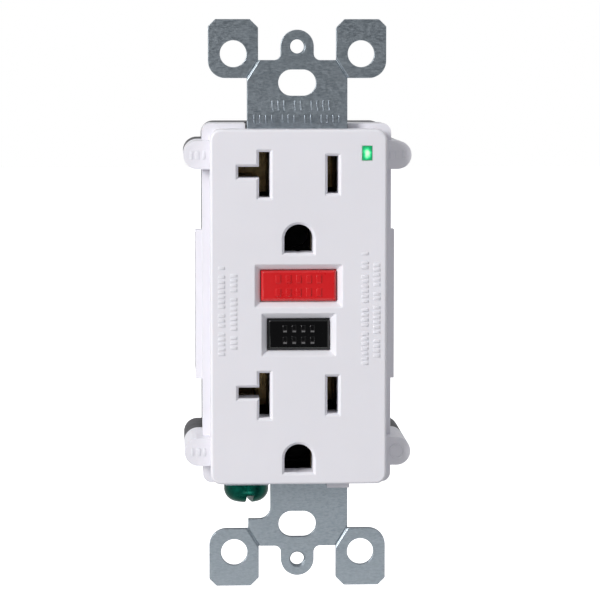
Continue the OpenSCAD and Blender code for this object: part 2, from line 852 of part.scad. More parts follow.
// Plate that the screw draws up to grip the wires
module wire_clamp(z) {
    difference() {
        span([8.75, 10.15], [term_y - 3.4, term_y + 3.8], [z - 4.55, z + 4.55]);
        bar_x(term_y, z, [8, 12], term_shank_r + 0.05);
        // Grooves that bed the wires
        for (k = sides)
            bar_y(10.85, z + k * 3.6, [term_y - 5, term_y + 5], 1.0);
    }
}

module load_hot_clamp() color("silver") wire_clamp(term_z);
module line_hot_clamp() color("silver") wire_clamp(-term_z);
module load_neutral_clamp() color("silver") mirror([1, 0, 0]) wire_clamp(term_z);
module line_neutral_clamp() color("silver") mirror([1, 0, 0]) wire_clamp(-term_z);

// ---------- contacts and trip mechanism ----------

module contact_arm() {
    difference() {
        span([arm_x - 1.8, arm_x + 1.8], [arm_y, arm_y + arm_t], [-12.4, 9.9]);
        bar_y(arm_x, 8, [arm_y - 1, arm_y + 1], 0.9);
    }
}

module hot_contact_arm() color("peru") contact_arm();
module neutral_contact_arm() color("peru") mirror([1, 0, 0]) contact_arm();

module moving_contact() {
    bar_y(arm_x, 8, [arm_y - 0.6, arm_y], 1.6);
    bar_y(arm_x, 8, [arm_y - 0.1, arm_y + arm_t], 0.9);
    bar_y(arm_x, 8, [arm_y + arm_t, arm_y + arm_t + 0.3], 1.2);
}

module hot_moving_contact() color("silver") moving_contact();
module neutral_moving_contact() color("silver") mirror([1, 0, 0]) moving_contact();

module fixed_contacts() color("silver") {
    for (s = sides) {
        bar_y(s * arm_x, 8, [strip_y, split_y + 0.1], 0.9);
        bar_y(s * arm_x, 8, [split_y + 0.05, split_y + 0.65], 1.6);
    }
}

// Block that the latched pin holds forward, lifting both contact arms
module latch_block() color("ivory") {
    depth = [split_y + 0.6, split_y + 5];
    wing_y = arm_y + arm_t + 0.6;
    // Ledge under the latch plate, for its return spring
    span([-1.8, 1.8], [depth[0], latch_y + 1.8], [latch_ledge_z - 0.8, latch_ledge_z]);
    span([-1.8, 1.8], [depth[0], depth[0] + 0.6], [latch_ledge_z - 0.8, reset_z - 3.3]);
    difference() {
        union() {
            span([-4.4, 4.4], depth, [reset_z - 3.4, reset_z + 3.2]);
            span([-11.4, 11.4], [wing_y, wing_y + 1.6], [reset_z - 1.6, reset_z + 1.6]);
            bar_x(wing_y, reset_z, [-11.4, -7.6], 0.55);
            bar_x(wing_y, reset_z, [7.6, 11.4], 0.55);
        }
        bar_y(0, reset_z, [0, 30], pin_head_r + 0.3);
        span([-3.3, 3.3], [latch_y - 0.08, latch_y + latch_t + 0.08], [reset_z - 6, reset_z + 6]);
    }
}

// Sliding plate: its hole hooks the pin's shoulder on one side
module latch_plate() color("silver") {
    hole_r = 1.95;
    hooked = reset_z + 0.55;
    released = reset_z + trip_travel;
    tab_z = [plunger_tip_z - 1.05, plunger_tip_z - 0.05];
    difference() {
        union() {
            span([-3.1, 3.1], [latch_y, latch_y + latch_t], [latch_foot_z, tab_z[1]]);
            span([-3.1, 3.1], [latch_y, latch_y + 4.6], tab_z);
        }
        bar_y(0, hooked, [0, 30], hole_r);
        bar_y(0, released, [0, 30], hole_r);
        span([-hole_r, hole_r], [0, 30], [hooked, released]);
    }
}

// Pushes the latch plate back up after a trip
module latch_spring() color("silver") {
    translate([0, latch_y + latch_t / 2, latch_ledge_z + 0.05])
        coil_spring(0.9, 0.16, latch_foot_z - latch_ledge_z - 0.1, 4);
}

module solenoid_frame() color("lightsteelblue") {
    x = 5.5;
    y = [plunger_y - 4.4, plunger_y + 4.4];
    difference() {
        union() {
            span([-x, x], y, [solenoid_z0, solenoid_z0 + 1]);
            span([-x, x], y, [solenoid_z1 - 1, solenoid_z1]);
            span([x - 0.9, x], y, [solenoid_z0, solenoid_z1]);
            span([-x, -x + 0.9], y, [solenoid_z0, solenoid_z1]);
        }
        bar_z(0, plunger_y, [solenoid_z0 - 1, solenoid_z0 + 2], plunger_rod_r + 0.15);
    }
}

module solenoid_bobbin() color("ivory") {
    z = [solenoid_z0 + 1.05, solenoid_z1 - 1.05];
    difference() {
        union() {
            bar_z(0, plunger_y, z, 2.9);
            bar_z(0, plunger_y, [z[0], z[0] + 0.8], 4.3);
            bar_z(0, plunger_y, [z[1] - 0.8, z[1]], 4.3);
        }
        bar_z(0, plunger_y, [z[0] - 1, z[1] - 0.8], plunger_r + 0.1);
    }
}

module solenoid_winding() color("chocolate") {
    z = [solenoid_z0 + 1.9, solenoid_z1 - 1.9];
    difference() {
        bar_z(0, plunger_y, z, 4.2);
        bar_z(0, plunger_y, [z[0] - 1, z[1] + 1], 2.95);
    }
}

module solenoid_plunger() color("silver") {
    bar_z(0, plunger_y, [plunger_shoulder_z, solenoid_z1 - 2.4], plunger_r);
    bar_z(0, plunger_y, [plunger_tip_z, plunger_shoulder_z + 0.1], plunger_rod_r);
}

// Returns the plunger: it stands on the frame and pushes the plunger's shoulder up
module plunger_spring() color("silver") {
    seat = solenoid_z0 + 1.05;
    translate([0, plunger_y, seat])
        coil_spring(1.75, 0.2, plunger_shoulder_z - seat - 0.05, 3.5);
}

// ---------- board and sensors ----------

module circuit_board() color("seagreen") {
    notch = 7.2;
    difference() {
        span([-15.6, 15.6], [board_y, board_y + board_t], [-31.8, 31.8]);
        for (sx = sides, sz = sides)
            mirror([sx < 0 ? 1 : 0, 0, 0])
                mirror([0, 0, sz < 0 ? 1 : 0])
                    span([notch, 17], [board_y - 1, board_y + 4], [term_z - 5.8, term_z + 5.8]);
        for (s = sides)
            mirror([s < 0 ? 1 : 0, 0, 0])
                span(
                    [plate_in - 0.1, plate_in + plate_t + 0.1],
                    [board_y - 1, board_y + 4],
                    [-26.7, -25.55]
                );
    }
}

module ring(y, inner, outer) {
    translate([0, y[0], coil_z])
        rotate([-90, 0, 0])
            rotate_extrude()
                translate([inner, 0])
                    square([outer - inner, y[1] - y[0]]);
}

module sensor_case() color("black") {
    y = [split_y + 2, board_y - 0.1];
    difference() {
        bar_y(0, coil_z, y, 7);
        bar_y(0, coil_z, [0, 40], 2.4);
        for (r = [[0.7, 4.1], [4.7, 7.5]])
            ring([y[0] + r[0], y[0] + r[1]], 3, 6.3);
    }
}

module sense_coil() color("chocolate") ring([split_y + 2.8, split_y + 6], 3.1, 6.2);
module neutral_coil() color("sienna") ring([split_y + 6.8, split_y + 9.4], 3.1, 6.2);

module control_chip() color("black") {
    span([-3, 3], [board_y - 2.2, board_y - 0.3], [-11.6, -7.4]);
    for (s = sides, k = [-1.5 : 1 : 1.5])
        span([k * 1.27 - 0.2, k * 1.27 + 0.2], [board_y - 0.8, board_y],
            s < 0 ? [-12.3, -11.5] : [-7.5, -6.7]);
}

module varistor() color("steelblue") {
    bar_y(11, -5.5, [board_y - 4.4, board_y - 0.6], 4);
    for (s = sides)
        bar_y(11 + s * 2.5, -5.5, [board_y - 0.7, board_y], 0.35);
}

module film_capacitor() color("gold") {
    span([-14.6, -8], [board_y - 4.8, board_y], [-9.6, -2.4]);
}

module filter_capacitor() color("darkslateblue") {
    bar_y(-11.4, 3.4, [board_y - 4.2, board_y], 3);
}

module thyristor() color("black") {
    difference() {
        bar_y(11.5, 4.2, [board_y - 4.4, board_y - 0.5], 2.3);
        span([8, 15], [board_y - 6, board_y + 1], [5.3, 8]);
    }
    for (k = [-1 : 1])
        span([11.5 + k * 1.27 - 0.2, 11.5 + k * 1.27 + 0.2], [board_y - 0.6, board_y], [4, 4.4]);
}

module diodes() color("dimgray") {
    for (k = [0 : 3])
        bar_z(9.6 + k * 1.6, board_y - 0.9, [9, 12.6], 0.7);
}

module resistors() color("tan") {
    for (k = [0 : 2])
        bar_z(-9.4 - k * 2.2, board_y - 0.9, [8.2, 13], 0.85);
    for (k = [0 : 1])
        bar_x(board_y - 0.9, -3.2 + k * 2.4, [-2.6, 2.6], 0.85);
}

face_cover();
separator();
rear_housing();
mounting_strap();
reset_button();
reset_pin();
reset_spring();
test_button();
test_blade();
test_contact_post();
test_resistor();
led_light_pipe();
status_led();
load_hot_conductor();
load_neutral_conductor();
line_hot_terminal();
line_neutral_terminal();
line_hot_lead();
line_neutral_lead();
upper_ground_contact();
lower_ground_contact();
ground_contact_rivets();
load_hot_screw();
load_neutral_screw();
line_hot_screw();
line_neutral_screw();
load_hot_clamp();
load_neutral_clamp();
line_hot_clamp();
line_neutral_clamp();
ground_screw();
circuit_board();
sensor_case();
sense_coil();
neutral_coil();
solenoid_frame();
solenoid_bobbin();
solenoid_winding();
solenoid_plunger();
plunger_spring();
latch_block();
latch_plate();
latch_spring();
hot_contact_arm();
neutral_contact_arm();
hot_moving_contact();
neutral_moving_contact();
fixed_contacts();
control_chip();
varistor();
film_capacitor();
filter_capacitor();
thyristor();
diodes();
resistors();
assembly_screws();
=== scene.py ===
"""Looks for the duplex ground-fault receptacle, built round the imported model."""

import json
import math

import bmesh
import bpy
from mathutils import Matrix, Vector


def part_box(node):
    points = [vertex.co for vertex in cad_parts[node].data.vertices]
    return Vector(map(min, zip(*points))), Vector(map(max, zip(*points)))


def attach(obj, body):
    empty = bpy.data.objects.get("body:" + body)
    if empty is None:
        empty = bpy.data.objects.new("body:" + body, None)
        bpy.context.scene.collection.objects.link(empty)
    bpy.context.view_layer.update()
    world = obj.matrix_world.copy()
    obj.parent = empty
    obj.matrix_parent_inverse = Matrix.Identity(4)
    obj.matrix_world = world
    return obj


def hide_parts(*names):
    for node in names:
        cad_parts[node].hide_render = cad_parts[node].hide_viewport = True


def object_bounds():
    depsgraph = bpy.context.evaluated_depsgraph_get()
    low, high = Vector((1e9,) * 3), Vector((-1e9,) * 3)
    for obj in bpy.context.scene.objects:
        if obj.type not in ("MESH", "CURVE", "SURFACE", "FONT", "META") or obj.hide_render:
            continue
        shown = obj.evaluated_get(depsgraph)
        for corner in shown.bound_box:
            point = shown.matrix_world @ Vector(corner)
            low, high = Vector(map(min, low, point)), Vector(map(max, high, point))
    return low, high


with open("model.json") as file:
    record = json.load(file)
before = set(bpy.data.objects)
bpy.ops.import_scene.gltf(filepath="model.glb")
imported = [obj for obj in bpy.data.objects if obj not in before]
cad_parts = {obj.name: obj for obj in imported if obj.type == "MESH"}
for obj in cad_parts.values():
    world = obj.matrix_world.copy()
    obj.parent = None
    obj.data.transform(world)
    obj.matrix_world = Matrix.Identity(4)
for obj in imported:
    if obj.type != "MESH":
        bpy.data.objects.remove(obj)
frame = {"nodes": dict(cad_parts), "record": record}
cad_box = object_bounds()

MM = 0.001
FLAT_ANGLE = math.radians(0.6)
SHARP_DEGREES = 24
WELD = 1e-6          # corners of the CAD mesh closer than this are one corner
FINE_WELD = 1e-7     # the same for the meshes made here
SCREW_PITCH = 0.79375 * MM
SIDES = (-1, 1)
NODES = frame["nodes"]
BODY_OF = {
    node: body
    for body, members in frame["record"]["behaviour"]["bodies"].items()
    for node in members
}
SLOT_OF = {row["node"]: row["material_slot"] for row in frame["record"]["subparts"]}
FACE_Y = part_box("face_cover")[0].y
STRAP_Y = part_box("mounting_strap")[0].y
REAR_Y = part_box("rear_housing")[1].y

# Places of the small parts on the board, in millimetres
UPRIGHT_RESISTOR_X = [-9.4 - 2.2 * k for k in range(3)]
LYING_RESISTOR_Z = [-3.2 + 2.4 * k for k in range(2)]
DIODE_X = [9.6 + 1.6 * k for k in range(4)]


# ---------- camera, light and floor ----------

def make_camera():
    """Looks at the face from slightly left of it and slightly above it."""
    distance = 0.5064
    azimuth = math.radians(-2.58)
    elevation = math.radians(5.22)
    target = Vector((0, FACE_Y, 0))
    back = Vector((
        math.sin(azimuth) * math.cos(elevation),
        -math.cos(azimuth) * math.cos(elevation),
        math.sin(elevation),
    ))
    data = bpy.data.cameras.new("camera")
    data.sensor_width = 36
    data.lens = 163.6
    data.shift_x = 0.002
    data.shift_y = 0.01325
    data.clip_start = 0.01
    camera = bpy.data.objects.new("camera", data)
    camera.location = target + back * distance
    camera.rotation_mode = "QUATERNION"
    camera.rotation_quaternion = (-back).to_track_quat("-Z", "Y")
    bpy.context.scene.collection.objects.link(camera)
    bpy.context.scene.camera = camera


def area_light(name, place, aim, size, power, tint=(1, 1, 1)):
    data = bpy.data.lights.new(name, "AREA")
    data.shape = "RECTANGLE"
    data.size, data.size_y = size
    data.energy = power
    data.color = tint
    light = bpy.data.objects.new(name, data)
    light.location = place
    direction = Vector(aim) - Vector(place)
    light.rotation_mode = "QUATERNION"
    light.rotation_quaternion = direction.to_track_quat("-Z", "Y")
    bpy.context.scene.collection.objects.link(light)


def make_world():
    """White to the eye; on the object only a moderate fill, and dark where the camera stands."""
    world = bpy.data.worlds.new("studio")
    world.use_nodes = True
    nodes, links = world.node_tree.nodes, world.node_tree.links
    nodes.clear()
    seen = nodes.new("ShaderNodeBackground")
    seen.inputs["Color"].default_value = (1, 1, 1, 1)
    seen.inputs["Strength"].default_value = 1.0
    fill = nodes.new("ShaderNodeBackground")
    fill.inputs["Color"].default_value = (0.97, 0.98, 1.0, 1)
    direction = nodes.new("ShaderNodeTexCoord")
    parts = nodes.new("ShaderNodeSeparateXYZ")
    links.new(direction.outputs["Generated"], parts.inputs[0])
    dark_side = nodes.new("ShaderNodeMapRange")
    for socket, value in (
        ("From Min", -0.98), ("From Max", -0.72), ("To Min", 0.10), ("To Max", 0.58)
    ):
        dark_side.inputs[socket].default_value = value
    links.new(parts.outputs["Y"], dark_side.inputs["Value"])
    links.new(dark_side.outputs["Result"], fill.inputs["Strength"])
    path = nodes.new("ShaderNodeLightPath")
    mix = nodes.new("ShaderNodeMixShader")
    out = nodes.new("ShaderNodeOutputWorld")
    links.new(path.outputs["Is Camera Ray"], mix.inputs["Fac"])
    links.new(fill.outputs[0], mix.inputs[1])
    links.new(seen.outputs[0], mix.inputs[2])
    links.new(mix.outputs[0], out.inputs["Surface"])
    bpy.context.scene.world = world


def make_floor():
    drop = 0.16
    half = 6.0
    z = cad_box[0].z - drop
    mesh = bpy.data.meshes.new("floor")
    corners = [(-half, -half, z), (half, -half, z), (half, half, z), (-half, half, z)]
    mesh.from_pydata(corners, [], [(0, 1, 2, 3)])
    floor = bpy.data.objects.new("floor", mesh)
    material = bpy.data.materials.new("pale_floor")
    material.use_nodes = True
    shader = material.node_tree.nodes["Principled BSDF"]
    shader.inputs["Base Color"].default_value = (0.93, 0.93, 0.94, 1)
    shader.inputs["Roughness"].default_value = 0.8
    shader.inputs["Emission Color"].default_value = (1, 1, 1, 1)
    shader.inputs["Emission Strength"].default_value = 0.8
    mesh.materials.append(material)
    floor.visible_diffuse = False
    floor.visible_glossy = False
    bpy.context.scene.collection.objects.link(floor)


def make_studio():
    make_world()
    make_floor()
    area_light("key", (-1.1, -0.95, 0.50), (0, 0, 0), (0.45, 0.6), 19.0, (1.0, 0.99, 0.98))
    area_light("under", (0.1, -1.1, -0.5), (0, 0, 0), (0.9, 0.3), 2.5)
    view = bpy.context.scene.view_settings
    view.view_transform = "Standard"
    view.look = "None"


# ---------- material building blocks ----------

class Shader:
    """One material and the few node patterns that the materials share."""

    def __init__(self, name):
        self.material = bpy.data.materials.new(name)
        self.material.use_nodes = True
        self.tree = self.material.node_tree
        self.bsdf = self.tree.nodes["Principled BSDF"]
        coordinates = self.tree.nodes.new("ShaderNodeTexCoord")
        self.place = coordinates.outputs["Object"]

    def set(self, **values):
        for name, value in values.items():
            self.bsdf.inputs[name.replace("_", " ")].default_value = value
        return self

    def link(self, source, target):
        self.tree.links.new(source, target)

    def stretched(self, scale):
        mapping = self.tree.nodes.new("ShaderNodeMapping")
        mapping.inputs["Scale"].default_value = scale
        self.link(self.place, mapping.inputs["Vector"])
        return mapping.outputs["Vector"]

    def noise(self, scale, detail=3.0, rough=0.55, place=None, distortion=0.0):
        node = self.tree.nodes.new("ShaderNodeTexNoise")
        node.inputs["Scale"].default_value = scale
        node.inputs["Detail"].default_value = detail
        node.inputs["Roughness"].default_value = rough
        node.inputs["Distortion"].default_value = distortion
        self.link(place or self.place, node.inputs["Vector"])
        return node.outputs["Fac"]

    def cells(self, scale):
        node = self.tree.nodes.new("ShaderNodeTexVoronoi")
        node.inputs["Scale"].default_value = scale
        self.link(self.place, node.inputs["Vector"])
        return node.outputs["Distance"]

    def spread(self, value, low, high, start=0.3, end=0.7):
        node = self.tree.nodes.new("ShaderNodeMapRange")
        node.inputs["From Min"].default_value = start
        node.inputs["From Max"].default_value = end
        node.inputs["To Min"].default_value = low
        node.inputs["To Max"].default_value = high
        self.link(value, node.inputs["Value"])
        return node.outputs["Result"]

    def blend(self, value, first, second):
        """Colour that goes from first to second as value goes from 0 to 1."""
        node = self.tree.nodes.new("ShaderNodeMix")
        node.data_type = "RGBA"
        for socket, colour in (("A", first), ("B", second)):
            target = [i for i in node.inputs if i.name == socket and i.type == "RGBA"][0]
            if isinstance(colour, tuple):
                target.default_value = (*colour, 1)
            else:
                self.link(colour, target)
        factor = [i for i in node.inputs if i.name == "Factor" and i.type == "VALUE"][0]
        self.link(value, factor)
        return [o for o in node.outputs if o.type == "RGBA"][0]

    def math(self, operation, first, second):
        node = self.tree.nodes.new("ShaderNodeMath")
        node.operation = operation
        for index, value in enumerate((first, second)):
            if isinstance(value, (int, float)):
                node.inputs[index].default_value = value
            else:
                self.link(value, node.inputs[index])
        return node.outputs[0]

    def bump(self, height, strength, distance, under=None):
        node = self.tree.nodes.new("ShaderNodeBump")
        node.inputs["Strength"].default_value = strength
        node.inputs["Distance"].default_value = distance
        self.link(height, node.inputs["Height"])
        if under is not None:
            self.link(under, node.inputs["Normal"])
        return node.outputs["Normal"]

    def finish(self, colour=None, roughness=None, normal=None):
        for socket, source in (
            ("Base Color", colour), ("Roughness", roughness), ("Normal", normal)
        ):
            if source is not None:
                self.link(source, self.bsdf.inputs[socket])
        return self.material


def shade(colour, factor):
    return tuple(min(1.0, c * factor) for c in colour)


def moulded(name, colour, roughness, grain=0.06, gloss_coat=0.0, soft=0.0, mottle=0.04):
    """Injection-moulded plastic: fine spark-eroded grain, faint flow marks, uneven gloss."""
    shader = Shader(name).set(IOR=1.49, Coat_Weight=gloss_coat, Coat_Roughness=0.08)
    if soft:
        shader.set(Subsurface_Weight=soft, Subsurface_Scale=0.0015)
        shader.bsdf.inputs["Subsurface Radius"].default_value = (1.0, 0.8, 0.7)
    flow = shader.noise(60, 4)
    tone = shader.blend(
        shader.spread(flow, 0, 1), shade(colour, 1 - mottle), shade(colour, 1 + mottle)
    )
    fine = shader.noise(2600, 2)
    gloss = shader.spread(
        shader.math("ADD", shader.noise(220, 3), shader.math("MULTIPLY", fine, 0.3)),
        roughness - 0.07, roughness + 0.07, 0.4, 0.9,
    )
    waves = shader.bump(flow, 0.05, 0.0004)
    normal = shader.bump(fine, grain, 0.00008, waves)
    return shader.finish(tone, gloss, normal)


def metal(
    name, colour, roughness, brushed=None, tarnish=None, grain=0.12, spots=0.0, slot_shade=None
):
    """Plated or rolled metal: brushed lines, cloudy plating, dull spots, painted shade near the
    face.
    """
    shader = Shader(name).set(Metallic=1.0)
    cloud = shader.noise(90, 5, 0.6)
    tone = shader.blend(
        shader.spread(cloud, 0, 1), shade(colour, 0.9), shade(colour, 1.1)
    )
    if tarnish:
        dull = shader.spread(shader.noise(160, 6, 0.7, distortion=0.6), 0, 1, 0.52, 0.74)
        tone = shader.blend(dull, tone, tarnish)
    # Painted shade: the tone darkens towards the face, where the contacts sit deep in the plug
    # slots and shade falls on them.
    if slot_shade:
        parts = shader.tree.nodes.new("ShaderNodeSeparateXYZ")
        shader.link(shader.place, parts.inputs[0])
        patchy = shader.math("MULTIPLY", shader.noise(700, 4, 0.6), 5 * MM)
        depth = shader.math("SUBTRACT", parts.outputs["Y"], patchy)
        slot_shade_mask = shader.spread(depth, 1, 0, 5 * MM, 11 * MM)
        tone = shader.blend(slot_shade_mask, tone, slot_shade)
    place = shader.stretched(brushed) if brushed else None
    lines = shader.noise(1.0 if brushed else 1500, 4, 0.6, place)
    gloss = shader.spread(
        shader.math("ADD", lines, shader.math("MULTIPLY", cloud, 0.8)),
        roughness - 0.1, roughness + 0.12, 0.6, 1.2,
    )
    normal = shader.bump(lines, grain, 0.00006)
    if spots:
        pits = shader.spread(shader.cells(700), 1, 0, 0.0, 0.35)
        normal = shader.bump(pits, spots, 0.00005, normal)
    return shader.finish(tone, gloss, normal)


# ---------- materials, one for each slot of the record ----------

WHITE = (0.80, 0.79, 0.84)


def face_plastic():
    return moulded("face_plastic", WHITE, 0.40, 0.05, 0.12, 0.08, 0.012)


def inner_plastic():
    return moulded("inner_plastic", (0.018, 0.018, 0.02), 0.5)


def rear_plastic():
    return moulded("rear_plastic", (0.045, 0.043, 0.049), 0.5, 0.14)


def black_plastic():
    return moulded("black_plastic", (0.016, 0.016, 0.018), 0.45, 0.12)


def bobbin_nylon():
    return moulded("bobbin_nylon", (0.74, 0.69, 0.56), 0.42, 0.05, 0.0, 0.2)


def reset_red():
    return moulded("reset_red", (0.62, 0.006, 0.009), 0.30, 0.04, 0.6, 0.0, 0.06)


def test_black():
    return moulded("test_black", (0.0015, 0.0015, 0.002), 0.14, 0.02, 0.15)


def strap_zinc():
    """Zinc plate with a blue-grey passivation: fine crossways brushing and small specks."""
    shader = Shader("strap_zinc").set(Metallic=1.0)
    brushed = shader.noise(1.0, 5, 0.7, shader.stretched((1400, 1500, 4200)))
    drift = shader.noise(30, 3)
    specks = shader.cells(900)
    tone = shader.blend(
        shader.spread(drift, 0, 1, 0.3, 0.7), (0.285, 0.335, 0.38), (0.315, 0.365, 0.41)
    )
    tone = shader.blend(shader.spread(brushed, 0, 0.8, 0.35, 0.75), tone, (0.50, 0.55, 0.59))
    tone = shader.blend(shader.spread(specks, 0.35, 0, 0.05, 0.4), tone, (0.27, 0.30, 0.33))
    gloss = shader.spread(brushed, 0.34, 0.50)
    normal = shader.bump(brushed, 0.05, 0.00005)
    normal = shader.bump(drift, 0.05, 0.0003, normal)
    return shader.finish(tone, gloss, normal)


def steel():
    return metal("steel", (0.56, 0.57, 0.58), 0.34, (1600, 1600, 200), (0.40, 0.39, 0.37))


def spring_steel():
    return metal("spring_steel", (0.50, 0.50, 0.51), 0.26, (1500, 1500, 1500))


def brass():
    return metal(
        "brass", (0.80, 0.58, 0.26), 0.28, (1500, 1500, 120), (0.50, 0.32, 0.14),
        # Dark brown painted shade for the contacts deep in the plug slots.
        slot_shade=(0.15, 0.115, 0.07),
    )


def brass_screw():
    return metal("brass_screw", (0.76, 0.58, 0.30), 0.26, None, (0.46, 0.33, 0.16), 0.1, 0.3)


def nickel_screw():
    return metal("nickel_screw", (0.66, 0.65, 0.62), 0.22, None, (0.42, 0.41, 0.38), 0.1, 0.3)


def phosphor_bronze():
    return metal("phosphor_bronze", (0.74, 0.44, 0.26), 0.28, (200, 1500, 1500), (0.45, 0.25, 0.14))


def silver_alloy():
    return metal("silver_alloy", (0.82, 0.81, 0.78), 0.24, None, (0.50, 0.47, 0.42), 0.1, 0.2)


def green_screw():
    """Green dye over bright plating, with a coat of lacquer."""
    shader = Shader("green_screw").set(Metallic=1.0, Coat_Weight=0.12, Coat_Roughness=0.15)
    cloud = shader.noise(320, 5, 0.6, distortion=0.4)
    tone = shader.blend(
        shader.spread(cloud, 0, 1), (0.0, 0.042, 0.028), (0.002, 0.13, 0.088)
    )
    gloss = shader.spread(shader.noise(900, 3), 0.22, 0.4)
    normal = shader.bump(shader.noise(1400, 3), 0.2, 0.00006)
    return shader.finish(tone, gloss, normal)


def copper():
    """Enamelled copper wire: reddish under a clear varnish that pools unevenly."""
    shader = Shader("copper").set(Metallic=0.85, Coat_Weight=0.6, Coat_Roughness=0.12)
    pool = shader.noise(500, 4, 0.6)
    tone = shader.blend(shader.spread(pool, 0, 1), (0.36, 0.11, 0.04), (0.62, 0.25, 0.10))
    gloss = shader.spread(shader.noise(1200, 2), 0.2, 0.42)
    return shader.finish(tone, gloss, shader.bump(pool, 0.15, 0.00005))


def board():
    """Green solder mask over etched copper: tracks show as slightly raised, lighter runs."""
    shader = Shader("board").set(Coat_Weight=0.6, Coat_Roughness=0.1, IOR=1.5)
    track = shader.tree.nodes.new("ShaderNodeTexBrick")
    track.inputs["Scale"].default_value = 190
    track.inputs["Mortar Size"].default_value = 0.06
    track.inputs["Mortar Smooth"].default_value = 0.3
    turned = shader.tree.nodes.new("ShaderNodeMapping")
    turned.inputs["Rotation"].default_value = (math.radians(90), 0, 0)
    shader.link(shader.place, turned.inputs["Vector"])
    shader.link(turned.outputs["Vector"], track.inputs["Vector"])
    weave = shader.noise(1.0, 3, 0.5, shader.stretched((2200, 400, 2200)))
    tone = shader.blend(track.outputs["Fac"], (0.012, 0.13, 0.055), (0.03, 0.24, 0.10))
    tone = shader.blend(shader.spread(weave, 0, 0.35), tone, (0.01, 0.09, 0.04))
    gloss = shader.spread(shader.noise(300, 3), 0.28, 0.42)
    normal = shader.bump(track.outputs["Fac"], 0.35, 0.00005)
    return shader.finish(tone, gloss, shader.bump(weave, 0.1, 0.00004, normal))


def light_pipe():
    """Clear green acrylic, lit from the board: brightest in the middle of its window."""
    low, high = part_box("led_light_pipe")
    middle = (low + high) / 2
    shader = Shader("light_pipe").set(IOR=1.49, Coat_Weight=0.4, Coat_Roughness=0.05)
    shader.set(Roughness=0.18)
    mapping = shader.tree.nodes.new("ShaderNodeMapping")
    half_x, half_z = (high.x - low.x) / 2, (high.z - low.z) / 2
    mapping.inputs["Location"].default_value = (-middle.x / half_x, 0, -middle.z / half_z)
    mapping.inputs["Scale"].default_value = (1 / half_x, 0, 1 / half_z)
    shader.link(shader.place, mapping.inputs["Vector"])
    globe = shader.tree.nodes.new("ShaderNodeTexGradient")
    globe.gradient_type = "SPHERICAL"
    shader.link(mapping.outputs["Vector"], globe.inputs["Vector"])
    ripple = shader.math(
        "ADD", globe.outputs["Fac"], shader.spread(shader.noise(1500, 2), -0.12, 0.12)
    )
    glow = shader.blend(
        shader.spread(ripple, 0, 1, 0.05, 0.45), (0.0, 0.09, 0.03), (0.06, 0.82, 0.32)
    )
    glow = shader.blend(shader.spread(ripple, 0, 1, 0.38, 0.8), glow, (0.93, 1.0, 0.80))
    shader.link(glow, shader.bsdf.inputs["Emission Color"])
    shader.set(Emission_Strength=0.85)
    tone = shader.blend(
        shader.spread(shader.noise(200), 0, 1), (0.01, 0.35, 0.12), (0.03, 0.45, 0.18)
    )
    return shader.finish(tone, None, shader.bump(shader.noise(1800), 0.05, 0.00005))


def led_lens():
    shader = Shader("led_lens").set(IOR=1.5, Transmission_Weight=0.6, Emission_Strength=0.6)
    shader.set(Emission_Color=(0.3, 1.0, 0.45, 1))
    tone = shader.blend(
        shader.spread(shader.noise(600), 0, 1), (0.3, 0.8, 0.4), (0.45, 0.95, 0.55)
    )
    gloss = shader.spread(shader.noise(900), 0.15, 0.3)
    return shader.finish(tone, gloss)


def coated(name, colour, roughness=0.3):
    """Dipped or sleeved component: thick glossy skin with a slight orange peel."""
    shader = Shader(name).set(Coat_Weight=0.7, Coat_Roughness=0.1)
    peel = shader.noise(900, 3)
    tone = shader.blend(
        shader.spread(shader.noise(250, 4), 0, 1), shade(colour, 0.88), shade(colour, 1.12)
    )
    gloss = shader.spread(peel, roughness - 0.08, roughness + 0.08)
    return shader.finish(tone, gloss, shader.bump(peel, 0.25, 0.00006))


def resistor_body():
    return coated("resistor_body", (0.60, 0.44, 0.26), 0.35)


def varistor_blue():
    return coated("varistor_blue", (0.025, 0.11, 0.34), 0.28)


def capacitor_yellow():
    return coated("capacitor_yellow", (0.72, 0.50, 0.05), 0.36)


def capacitor_dark():
    return coated("capacitor_dark", (0.025, 0.03, 0.07), 0.25)


def solder():
    return metal("solder", (0.66, 0.66, 0.67), 0.24, None, (0.48, 0.47, 0.46), 0.12, 0.2)


SLOT_MATERIALS = {
    make.__name__: make()
    for make in (
        face_plastic, inner_plastic, rear_plastic, black_plastic, bobbin_nylon, reset_red,
        test_black, strap_zinc, steel, spring_steel, brass, brass_screw, nickel_screw,
        phosphor_bronze, silver_alloy, green_screw, copper, board, light_pipe, led_lens,
        resistor_body, varistor_blue, capacitor_yellow, capacitor_dark,
    )
}


# ---------- mesh building blocks ----------

def shade_smooth(mesh):
    mesh.polygons.foreach_set("use_smooth", [True] * len(mesh.polygons))


def weigh_normals(piece):
    weighted = piece.modifiers.new("weighted", "WEIGHTED_NORMAL")
    weighted.keep_sharp = True


def add_piece(name, mesh, body, slot, material=None):
    """A new piece that rides on a CAD body and takes its finish from a slot."""
    piece = bpy.data.objects.new(name, mesh)
    bpy.context.scene.collection.objects.link(piece)
    mesh.materials.clear()
    mesh.materials.append(material or SLOT_MATERIALS[slot])
    shade_smooth(mesh)
    weigh_normals(piece)
    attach(piece, body)
    return piece


def mesh_from(bm, name):
    mesh = bpy.data.meshes.new(name)
    bm.to_mesh(mesh)
    bm.free()
    return mesh


def flat_patches(bm):
    """Sets of neighbouring faces that lie in one plane."""
    waiting = set(bm.faces)
    while waiting:
        first = waiting.pop()
        patch, ahead = [first], [first]
        while ahead:
            face = ahead.pop()
            for edge in face.edges:
                if edge.seam or len(edge.link_faces) != 2:
                    continue
                other = next(f for f in edge.link_faces if f is not face)
                if other in waiting and other.normal.angle(first.normal, 0) < FLAT_ANGLE:
                    waiting.discard(other)
                    patch.append(other)
                    ahead.append(other)
        yield patch


